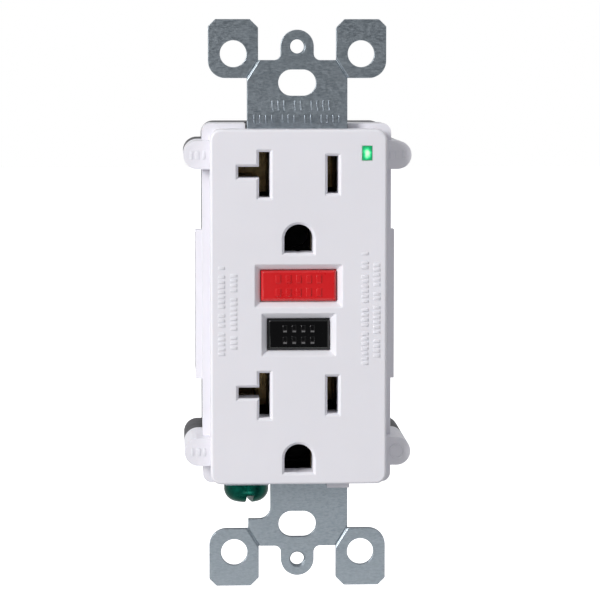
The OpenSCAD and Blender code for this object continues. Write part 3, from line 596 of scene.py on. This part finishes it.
def outlines(patch):
    """The patch's outline and the outlines of its holes, each as a set of vertices."""
    inside = set(patch)
    rim = {
        edge for face in patch for edge in face.edges
        if sum(other in inside for other in edge.link_faces) == 1
    }
    loops = []
    while rim:
        loop = set(rim.pop().verts)
        ahead = list(loop)
        while ahead:
            vertex = ahead.pop()
            for edge in vertex.link_edges:
                if edge in rim:
                    rim.discard(edge)
                    loop.update(edge.verts)
                    ahead.append(edge.other_vert(vertex))
        loops.append(loop)
    return loops


def cut_places(loops, axis):
    """Where to cut along an axis so that each hole is crossed, well clear of every corner."""
    spans = []
    for loop in loops:
        along = [vertex.co[axis] for vertex in loop]
        spans.append((min(along), max(along)))
    spans.sort(key=lambda span: span[0] - span[1])
    corners = [end for span in spans for end in span]
    places = []
    for low, high in spans[1:]:
        margin = 0.15 * (high - low)
        if any(low + margin < place < high - margin for place in places):
            continue
        middle = (low + high) / 2
        choices = [low + (high - low) * k / 20 for k in range(4, 17)]
        places.append(max(choices, key=lambda place: (
            round(min(0.6 * MM, min(abs(place - end) for end in corners)), 6),
            -abs(place - middle),
        )))
    return places


def split_at_holes(bm):
    """Cuts each flat patch through its holes, so that no polygon is left with one."""
    for patch in [found for found in flat_patches(bm) if len(found) > 2]:
        loops = outlines(patch)
        if len(loops) < 2:
            continue
        axis = 0 if abs(patch[0].normal.x) < 0.5 else 2
        direction = Vector((axis == 0, 0, axis == 2))
        area = set(patch)
        for place in cut_places(loops, axis):
            faces = [face for face in area if face.is_valid]
            edges = {edge for face in faces for edge in face.edges}
            verts = {vertex for face in faces for vertex in face.verts}
            made = bmesh.ops.bisect_plane(
                bm, geom=[*verts, *edges, *faces], plane_co=direction * place,
                plane_no=direction, dist=WELD,
            )
            area = {item for item in made["geom"] if isinstance(item, bmesh.types.BMFace)}
            for item in made["geom_cut"]:
                if isinstance(item, bmesh.types.BMEdge) and area.issuperset(item.link_faces):
                    item.seam = True


def copy_of(node):
    """The node's mesh with its triangles merged back into flat faces that have no holes."""
    bm = bmesh.new()
    bm.from_mesh(NODES[node].data)
    bmesh.ops.remove_doubles(bm, verts=bm.verts, dist=WELD)
    split_at_holes(bm)
    bmesh.ops.dissolve_limit(
        bm, angle_limit=FLAT_ANGLE, verts=bm.verts, edges=bm.edges,
        use_dissolve_boundaries=False, delimit={"SEAM"},
    )
    return bm


def is_sharp(edge, degrees=SHARP_DEGREES):
    return len(edge.link_faces) == 2 and edge.calc_face_angle(0) > math.radians(degrees)


def folded_area(bm):
    """By how much the triangles of the polygons overlap: next to nothing in a sound mesh."""
    covered = {}
    for corners in bm.calc_loop_triangles():
        a, b, c = (corner.vert.co for corner in corners)
        face = corners[0].face
        covered[face] = covered.get(face, 0) + (b - a).cross(c - a).length / 2
    return sum(max(0, area - face.calc_area()) for face, area in covered.items())


def round_edges(bm, chosen, width, segments=3):
    """Rounds the chosen sharp edges, as widely as leaves every polygon sound."""
    allowed = folded_area(bm) + 0.5 * MM * MM
    for share in (1.0, 0.7, 0.5, 0.35, 0.2):
        trial = bm.copy()
        edges = [edge for edge in trial.edges if is_sharp(edge) and chosen(edge)]
        bmesh.ops.bevel(
            trial, geom=edges, offset=width * share, offset_type="OFFSET", segments=segments,
            profile=0.5, affect="EDGES", clamp_overlap=False, miter_outer="ARC",
        )
        if folded_area(trial) < allowed:
            bm.free()
            return trial
        trial.free()
    return bm


def all_near(edge, test):
    return all(test(vertex.co) for vertex in edge.verts)


def rounded_stand_in(node, name, steps):
    """Stands for a CAD node, its edges rounded in steps of (choice, width, segments)."""
    bm = copy_of(node)
    for chosen, width, segments in steps:
        bm = round_edges(bm, chosen, width, segments)
    for edge in bm.edges:
        edge.smooth = not is_sharp(edge, 50)
    piece = add_piece(name, mesh_from(bm, name), BODY_OF[node], SLOT_OF[node])
    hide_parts(node)


def any_edge(_edge):
    return True


def soften(node, width):
    """Keeps the CAD mesh and rounds its sharp edges with modifiers."""
    piece = NODES[node]
    shade_smooth(piece.data)
    weld = piece.modifiers.new("weld", "WELD")
    weld.merge_threshold = WELD
    flat = piece.modifiers.new("flat", "DECIMATE")
    flat.decimate_type = "DISSOLVE"
    flat.angle_limit = FLAT_ANGLE
    bevel = piece.modifiers.new("bevel", "BEVEL")
    bevel.width = width
    bevel.segments = 2
    bevel.limit_method = "ANGLE"
    bevel.angle_limit = math.radians(SHARP_DEGREES)
    bevel.use_clamp_overlap = True
    bevel.miter_outer = "MITER_ARC"
    weigh_normals(piece)


def bars_piece(name, body, slot, bars, round_width):
    """Small raised bars, each given by its centre and its size."""
    bm = bmesh.new()
    for centre, size in bars:
        place = Matrix.Translation(Vector(centre)) @ Matrix.Diagonal((*size, 1))
        bmesh.ops.create_cube(bm, size=1, matrix=place)
    bm = round_edges(bm, any_edge, round_width, 2)
    add_piece(name, mesh_from(bm, name), body, slot)


def in_mm(*points):
    return [(radius * MM, height * MM) for radius, height in points]


def along_y(x, y, z, side=1):
    """A place whose own Z axis points away from the face, or towards it with side -1."""
    return Matrix.Translation((x, y, z)) @ Matrix.Rotation(math.radians(-90 * side), 4, "X")


def lathe(bm, profile, place, steps=40):
    """Turns (radius, height) points about the local Z axis."""
    rings = []
    for radius, height in profile:
        if radius < 1e-9:
            rings.append([bm.verts.new(place @ Vector((0, 0, height)))])
            continue
        rings.append([
            bm.verts.new(place @ Vector((
                radius * math.cos(2 * math.pi * k / steps),
                radius * math.sin(2 * math.pi * k / steps),
                height,
            )))
            for k in range(steps)
        ])
    for low, high in zip(rings, rings[1:]):
        for k in range(steps):
            n = (k + 1) % steps
            corners = [
                low[k % len(low)], low[n % len(low)], high[n % len(high)], high[k % len(high)]
            ]
            bm.faces.new(list(dict.fromkeys(corners)))


def turned_piece(name, slot, rings, steps=40, material=None):
    """Closed rings on the housing, each given by its profile and its place."""
    bm = bmesh.new()
    for profile, place in rings:
        lathe(bm, profile, place, steps)
    bmesh.ops.remove_doubles(bm, verts=bm.verts, dist=FINE_WELD)
    return add_piece(name, mesh_from(bm, name), "housing", slot, material)


def thread(bm, place, radius, depth, start, end, steps=28, rows=8):
    """A screwed shank along local Z: its radius rises and falls once a pitch, round the helix."""
    run_in, run_out = 0.5 * SCREW_PITCH, 1.5 * SCREW_PITCH
    flank, crest = 0.38, 1.25
    count = max(2, round((end - start) / SCREW_PITCH * rows))
    rings = []
    for i in range(count + 1):
        z = start + (end - start) * i / count
        fade = min(1.0, (end - z) / run_out, (z - start) / run_in + 0.2)
        ring = []
        for k in range(steps):
            turn = (z / SCREW_PITCH - k / steps) % 1.0
            ridge = max(0.0, 1.0 - abs(turn - 0.5) / flank)
            r = radius - depth * (1.0 - min(1.0, crest * ridge) * max(0.0, fade))
            angle = 2 * math.pi * k / steps
            ring.append(bm.verts.new(place @ Vector((r * math.cos(angle), r * math.sin(angle), z))))
        rings.append(ring)
    for low, high in zip(rings, rings[1:]):
        for k in range(steps):
            n = (k + 1) % steps
            bm.faces.new((low[k], low[n], high[n], high[k]))
    bm.faces.new(rings[0][::-1])
    bm.faces.new(rings[-1])


def tube_curve(name, points, thickness, slot, closed=False):
    """A round wire on the housing, through the given points."""
    curve = bpy.data.curves.new(name, "CURVE")
    curve.dimensions = "3D"
    curve.bevel_depth = thickness / 2
    curve.bevel_resolution = 1
    curve.use_fill_caps = True
    spline = curve.splines.new("POLY")
    spline.points.add(len(points) - 1)
    for point, place in zip(spline.points, points):
        point.co = (*place, 1)
    spline.use_cyclic_u = closed
    curve.materials.append(SLOT_MATERIALS[slot])
    piece = bpy.data.objects.new(name, curve)
    bpy.context.scene.collection.objects.link(piece)
    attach(piece, "housing")


# ---------- housings and strap ----------

def face_cover():
    """The white moulding, with a soft edge round the face and small radii elsewhere."""
    corner, corner_x, corner_z = 2.0 * MM, 14.4 * MM, 31.1 * MM
    front = FACE_Y + 0.02 * MM
    shallow = FACE_Y + 1.3 * MM

    def on_rim(co):
        x, z = abs(co.x) - corner_x, abs(co.z) - corner_z
        beyond = math.hypot(max(x, 0), max(z, 0)) + min(max(x, z), 0) - corner
        return co.y < front and abs(beyond) < 0.06 * MM

    def at_pocket(co):
        inside_x = abs(co.x) < 8.6 * MM
        inside_z = -9.6 * MM < co.z < 8.6 * MM
        return inside_x and inside_z and co.y < shallow

    def outside(co):
        return abs(co.x) > 17.5 * MM or abs(co.z) > 33.3 * MM

    rounded_stand_in("face_cover", "cover_shell", (
        (lambda edge: all_near(edge, on_rim), 0.5 * MM, 5),
        (lambda edge: all_near(edge, at_pocket), 0.14 * MM, 2),
        (lambda edge: all_near(edge, lambda co: co.y < shallow), 0.08 * MM, 2),
        (lambda edge: all_near(edge, outside), 0.12 * MM, 2),
    ))


def rear_cover():
    """The grey rear moulding: its outside edges are rounded, apart from two narrow grooves."""
    def outside(co):
        shell = abs(co.x) > 17 * MM or abs(co.z) > 33.3 * MM or co.y > 26.2 * MM
        groove = 24.5 * MM < abs(co.z) < 25.9 * MM and co.y < 26.95 * MM
        return shell and not groove

    rounded_stand_in("rear_housing", "rear_shell", (
        (lambda edge: all_near(edge, outside), 0.16 * MM, 2),
    ))


def fine_metal_and_mouldings():
    """Stand-ins for the nodes whose faces have many holes."""
    for node, name, width in (
        ("mounting_strap", "strap_plate", 0.1), ("separator", "separator_shell", 0.04),
        ("load_hot_conductor", "load_hot_strip", 0.06), ("latch_block", "latch_slider", 0.1),
        ("load_neutral_conductor", "load_neutral_strip", 0.05),
        ("solenoid_frame", "solenoid_yoke", 0.06),
    ):
        rounded_stand_in(node, name, ((any_edge, width * MM, 2),))


def text_like_columns():
    """Columns of small raised blocks where the real face carries moulded wording."""
    emboss = 0.26 * MM
    block_x, block_z = 1.2 * MM, 0.55 * MM
    pitch, word_gap = 0.92 * MM, 0.75 * MM
    words = (5, 3, 7, 4, 6, 2, 5)
    bars = []
    for column, (x, low, high) in enumerate((
        (-14.35, -8.6, 8.2), (-12.1, -7.4, 7.2), (12.3, -10.4, 11.0), (14.5, -9.0, 9.6),
    )):
        z = low * MM
        count = 0
        word = column
        while z < high * MM:
            bars.append(((x * MM, FACE_Y, z), (block_x, emboss, block_z)))
            z += pitch
            count += 1
            if count == words[word % len(words)]:
                z += word_gap
                count = 0
                word += 1
    bars_piece("face_blocks", "housing", "face_plastic", bars, 0.07 * MM)


def lug_marks():
    """Dashes on three lugs and a ring on the lower right one."""
    screws_low, screws_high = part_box("assembly_screws")
    head_r = 1.95 * MM
    lug_x, y = 18.66 * MM, -2.92 * MM
    upper, lower = screws_high.z - head_r, screws_low.z + head_r
    bars = []
    for sx, lug_z in ((-1, upper), (1, upper), (-1, lower)):
        for k, size in ((-1, 0.7), (0, 1.0), (1, 0.7)):
            place = (sx * lug_x + k * 1.15 * MM, y, lug_z)
            bars.append((place, (size * MM * 0.75, 0.14 * MM, 1.5 * MM)))
    bars_piece("lug_dashes", "housing", "face_plastic", bars, 0.05 * MM)
    profile = in_mm(
        (1.15, 0.0), (1.15, 0.08), (1.2, 0.14), (1.4, 0.14), (1.45, 0.08), (1.45, 0.0), (1.15, 0.0)
    )
    place = along_y(lug_x, y + 0.05 * MM, lower, -1)
    turned_piece("lug_ring", "face_plastic", [(profile, place)])


def strap_stamping():
    """Plain raised dashes in two rows on the strap's upper plate."""
    y = STRAP_Y - 0.02 * MM
    thick = 0.12 * MM
    bars = []
    for z, height, first, groups in (
        (37.4, 1.9, -4.6, (3, 2, 4)), (34.9, 1.5, -8.0, (4, 3, 2, 4)),
    ):
        x = first
        for group in groups:
            for _ in range(group):
                bars.append(((x * MM, y, z * MM), (0.36 * MM, thick, height * MM)))
                x += 1.1
            x += 0.9
    bars_piece("strap_stamping", "housing", "strap_zinc", bars, 0.05 * MM)


def plate_screw_threads():
    """Thread crests in the collars that take the cover plate's screws."""
    screw_z, root_r, pitch = 48.4 * MM, 1.52 * MM, 0.794 * MM
    crest_r = root_r - 0.2 * MM
    profile = [
        (root_r, -0.3 * pitch), (crest_r, -0.06 * pitch), (crest_r, 0.06 * pitch),
        (root_r, 0.3 * pitch), (root_r, -0.3 * pitch),
    ]
    for side, name in ((1, "upper_thread"), (-1, "lower_thread")):
        turned_piece(name, "strap_zinc", [
            (profile, along_y(0, STRAP_Y + (0.5 + k) * pitch * 0.9, side * screw_z))
            for k in range(3)
        ])


def wire_collars():
    """Raised collars round the eight wire holes in the back."""
    profile = in_mm(
        (1.38, -0.3), (1.38, 0.1), (1.55, 0.28), (2.0, 0.28), (2.15, 0.15), (2.2, -0.3),
        (1.38, -0.3),
    )
    across, up = {-1: "l", 1: "r"}, {-1: "d", 1: "u"}
    for sx in SIDES:
        for sz in SIDES:
            for k in SIDES:
                place = along_y(sx * 11.52 * MM, REAR_Y, (sz * 19.8 + k * 3.6) * MM)
                name = f"wire_collar_{across[sx]}{up[sz]}{up[k]}"
                turned_piece(name, "rear_plastic", [(profile, place)])


def rear_marks():
    """Rows of dashes and a plain frame on the back."""
    bars = []
    for sx in SIDES:
        for sz in SIDES:
            for k in range(4):
                bars.append((
                    (sx * (6.6 - 0.9 * k) * MM, REAR_Y, sz * 19.8 * MM),
                    (0.4 * MM, 0.2 * MM, (2.6 if k % 2 else 1.6) * MM),
                ))
    for k in range(6):
        for z in (7.4, -7.4):
            centre = ((-6.5 + 2.6 * k) * MM, REAR_Y, z * MM)
            bars.append((centre, (1.7 * MM, 0.2 * MM, 0.5 * MM)))
    frame_w, frame_h, line, proud = 19.0, 11.5, 0.5, 0.24 * MM
    for s in SIDES:
        bars.append(((0, REAR_Y, s * frame_h / 2 * MM), (frame_w * MM, proud, line * MM)))
        upright = (line * MM, proud, (frame_h - line * 0.2) * MM)
        bars.append(((s * frame_w / 2 * MM, REAR_Y, 0), upright))
    bars_piece("rear_marks", "housing", "rear_plastic", bars, 0.06 * MM)


# ---------- buttons ----------

def button(node, name, slot, dash_rows):
    """A button cap with rows of dashes, each row given by height, count, pitch and dash length."""
    bm = copy_of(node)
    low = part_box(node)[0]
    front = low.y + 0.02 * MM
    bm = round_edges(bm, lambda edge: all_near(edge, lambda co: co.y < front), 0.5 * MM, 4)
    bm = round_edges(bm, lambda edge: is_sharp(edge, 40), 0.1 * MM, 2)
    piece = add_piece(name, mesh_from(bm, name), BODY_OF[node], slot)
    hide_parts(node)
    bars = []
    for z, count, pitch, height in dash_rows:
        for k in range(count):
            x = (k - (count - 1) / 2) * pitch
            size = (pitch * 0.5 * MM, 0.3 * MM, height * MM)
            bars.append(((x * MM, low.y, z * MM), size))
    bars_piece(name + "_dashes", BODY_OF[node], slot, bars, 0.09 * MM)


# ---------- screws ----------

def cut_shank(bm, place, normal):
    """Removes what lies beyond a plane, on the side its normal points to, and closes the cut."""
    made = bmesh.ops.bisect_plane(
        bm, geom=bm.verts[:] + bm.edges[:] + bm.faces[:], plane_co=place, plane_no=normal,
        clear_outer=True, dist=FINE_WELD,
    )
    edges = [g for g in made["geom_cut"] if isinstance(g, bmesh.types.BMEdge)]
    bmesh.ops.holes_fill(bm, edges=edges)


def terminal_screw(node):
    low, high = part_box(node)
    side = 1 if high.x > 0 else -1
    outer = max(abs(low.x), abs(high.x))
    inner = min(abs(low.x), abs(high.x))
    centre = (low + high) / 2
    under_head = outer - 2.5 * MM
    bm = copy_of(node)
    cut_shank(bm, Vector((side * (under_head - 0.01 * MM), 0, 0)), Vector((-side, 0, 0)))
    bm = round_edges(bm, any_edge, 0.16 * MM, 2)
    turn = Matrix.Rotation(math.radians(90 * side), 4, "Y")
    place = Matrix.Translation((0, centre.y, centre.z)) @ turn
    thread(bm, place, 2.05 * MM, 0.36 * MM, inner, under_head + 0.1 * MM)
    piece = add_piece(node + "_threaded", mesh_from(bm, node), BODY_OF[node], SLOT_OF[node])
    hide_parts(node)


def ground_screw():
    node = "ground_screw"
    low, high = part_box(node)
    centre = (low + high) / 2
    neck = high.z - 6.0 * MM
    bm = copy_of(node)
    cut_shank(bm, Vector((0, 0, neck + 0.01 * MM)), Vector((0, 0, 1)))
    bm = round_edges(bm, any_edge, 0.12 * MM, 3)
    place = Matrix.Translation((centre.x, centre.y, 0))
    thread(bm, place, 2.0 * MM, 0.34 * MM, neck - 0.1 * MM, high.z)
    piece = add_piece(node + "_threaded", mesh_from(bm, node), BODY_OF[node], SLOT_OF[node])
    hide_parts(node)


# ---------- windings ----------

def ring_winding(node, turns):
    """A tape-wound core with a layer of enamelled wire wound round it."""
    low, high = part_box(node)
    centre = (low + high) / 2
    wire = 0.26 * MM
    skin = wire * 0.75
    edge = 0.25 * MM
    bore, rim = 3.1 * MM + skin, (high.x - low.x) / 2 - skin
    front, back = low.y + skin, high.y - skin
    core = turned_piece(node + "_core", "copper", [([
        (bore, front + edge), (bore + edge, front), (rim - edge, front), (rim, front + edge),
        (rim, back - edge), (rim - edge, back), (bore + edge, back), (bore, back - edge),
        (bore, front + edge),
    ], along_y(centre.x, 0, centre.z))], 64, SLOT_MATERIALS["black_plastic"])
    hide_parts(node)
    half_way = (bore + rim) / 2
    middle = Vector((half_way, (front + back) / 2))
    section = [
        (bore, front + edge), (bore + edge, front), (half_way, front), (rim - edge, front),
        (rim, front + edge), (rim, back - edge), (rim - edge, back), (half_way, back),
        (bore + edge, back), (bore, back - edge),
    ]
    points = []
    for t in range(turns):
        for k, (radius, y) in enumerate(section):
            out = Vector((radius, y)) - middle
            grown = middle + out + out.normalized() * wire * 0.3
            angle = 2 * math.pi * (t + k / len(section)) / turns
            points.append((
                centre.x + grown.x * math.cos(angle), grown.y, centre.z + grown.x * math.sin(angle)
            ))
    tube_curve(node + "_wire", points, wire, "copper", closed=True)


def solenoid_winding():
    """The lower layers as one smooth body, and the top layer as a single wire."""
    low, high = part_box("solenoid_winding")
    centre = (low + high) / 2
    outer = (high.x - low.x) / 2
    wire = 0.3 * MM
    inner, under = 2.95 * MM, outer - wire
    layers = turned_piece("solenoid_under_layers", "copper", [([
        (inner, low.z), (under, low.z), (under, high.z), (inner, high.z), (inner, low.z),
    ], Matrix.Translation((centre.x, centre.y, 0)))], 48)
    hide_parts("solenoid_winding")
    steps = 24
    turns = int((high.z - low.z) / wire) - 1
    radius = outer - wire / 2
    points = []
    for i in range(turns * steps + 1):
        angle = 2 * math.pi * i / steps
        points.append((
            centre.x + radius * math.cos(angle),
            centre.y + radius * math.sin(angle),
            low.z + wire + wire * i / steps,
        ))
    tube_curve("solenoid_wire", points, wire, "copper")


# ---------- board details ----------

def solder_joints():
    """A fillet of solder and a clipped lead where each component passes through the board."""
    board_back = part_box("circuit_board")[1].y
    places = []
    for s in SIDES:
        places += [(11 + s * 2.5, -5.5), (s * 13.35, -26.1), (s * 1.2, -20.2)]
        places += [(-11.4 + s * 1.2, 3.4), (-11.3, -6.0 + s * 2.6)]
    places += [(11.5 + k * 1.27, 4.2) for k in (-1, 0, 1)]
    places += [(x, z) for x in DIODE_X for z in (8.7, 12.9)]
    places += [(x, z) for x in UPRIGHT_RESISTOR_X for z in (7.9, 13.3)]
    places += [(s * 3.0, z) for s in SIDES for z in LYING_RESISTOR_Z]
    bm = bmesh.new()
    profile = in_mm(
        (0.75, 0.0), (0.7, 0.1), (0.42, 0.38), (0.26, 0.75), (0.25, 1.05), (0.18, 1.12), (0.0, 1.12)
    )
    for x, z in places:
        lathe(bm, profile, along_y(x * MM, board_back, z * MM), 16)
    boundary = [edge for edge in bm.edges if len(edge.link_faces) == 1]
    bmesh.ops.holes_fill(bm, edges=boundary)
    bmesh.ops.recalc_face_normals(bm, faces=bm.faces)
    add_piece("solder_joints", mesh_from(bm, "solder_joints"), "housing", "steel", solder())


def colour_rings():
    """Coloured rings on the resistors and a pale ring at one end of each diode."""
    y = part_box("circuit_board")[0].y - 0.9 * MM
    resistor_r, diode_r = 0.85 * MM, 0.7 * MM
    wide = 0.22 * MM

    def rings(name, slot, tint, places, radius, turn=Matrix.Identity(4)):
        inner, outer = radius - 0.05 * MM, radius + 0.02 * MM
        profile = [
            (inner, -wide), (outer, -wide * 0.9), (outer, wide * 0.9), (inner, wide),
            (inner, -wide),
        ]
        placed = [(profile, Matrix.Translation(place) @ turn) for place in places]
        turned_piece(name, slot, placed, 28, coated(name, tint))

    lying_turn = Matrix.Rotation(math.radians(90), 4, "Y")
    for name, tint, along in (
        ("ring_brown", (0.16, 0.05, 0.02), -1.6), ("ring_black", (0.02, 0.02, 0.02), -0.8),
        ("ring_orange", (0.8, 0.25, 0.02), 0.0), ("ring_gold", (0.6, 0.42, 0.14), 1.5),
    ):
        offset = along * MM
        upright = [Vector((x * MM, y, 10.6 * MM + offset)) for x in UPRIGHT_RESISTOR_X]
        rings(name + "_upright", "resistor_body", tint, upright, resistor_r)
        lying = [Vector((offset, y, z * MM)) for z in LYING_RESISTOR_Z]
        rings(name + "_lying", "resistor_body", tint, lying, resistor_r, lying_turn)
    ends = [Vector((x * MM, y, 11.9 * MM)) for x in DIODE_X]
    rings("diode_marks", "black_plastic", (0.6, 0.6, 0.6), ends, diode_r)


# ---------- assembly ----------

# Widths of rounded edges, in millimetres
COMMON_WIDTH = 0.07
EDGE_WIDTH = {
    "circuit_board": 0.06,
    "film_capacitor": 0.35, "filter_capacitor": 0.4, "varistor": 0.6, "thyristor": 0.2,
    "control_chip": 0.08, "resistors": 0.25, "diodes": 0.15, "assembly_screws": 0.12,
    "solenoid_bobbin": 0.12, "sensor_case": 0.2, "led_light_pipe": 0.08, "status_led": 0.25,
    "solenoid_plunger": 0.15, "reset_pin": 0.08,
}
SMOOTH_ONLY = ("reset_spring", "plunger_spring", "latch_spring")


def dress_nodes(replaced):
    for name, node in NODES.items():
        node.data.materials.clear()
        node.data.materials.append(SLOT_MATERIALS[SLOT_OF[name]])
        if name in replaced:
            continue
        if name in SMOOTH_ONLY:
            shade_smooth(node.data)
            continue
        soften(name, EDGE_WIDTH.get(name, COMMON_WIDTH) * MM)


make_camera()
make_studio()

TERMINAL_SCREWS = ("load_hot_screw", "load_neutral_screw", "line_hot_screw", "line_neutral_screw")
dress_nodes({
    "face_cover", "rear_housing", "mounting_strap", "separator", "load_hot_conductor",
    "load_neutral_conductor", "latch_block", "solenoid_frame",
    "reset_button", "test_button", "ground_screw", "sense_coil", "neutral_coil",
    "solenoid_winding", *TERMINAL_SCREWS,
})

face_cover()
rear_cover()
fine_metal_and_mouldings()
text_like_columns()
lug_marks()
strap_stamping()
plate_screw_threads()
wire_collars()
rear_marks()

button("reset_button", "reset_cap", "reset_red", ((5.35, 5, 1.9, 1.5), (2.85, 5, 1.9, 1.5)))
button("test_button", "test_cap", "test_black", ((-3.95, 4, 1.7, 1.4), (-6.1, 4, 1.7, 1.4)))

for screw in TERMINAL_SCREWS:
    terminal_screw(screw)
ground_screw()

ring_winding("sense_coil", 72)
ring_winding("neutral_coil", 60)
solenoid_winding()
solder_joints()
colour_rings()
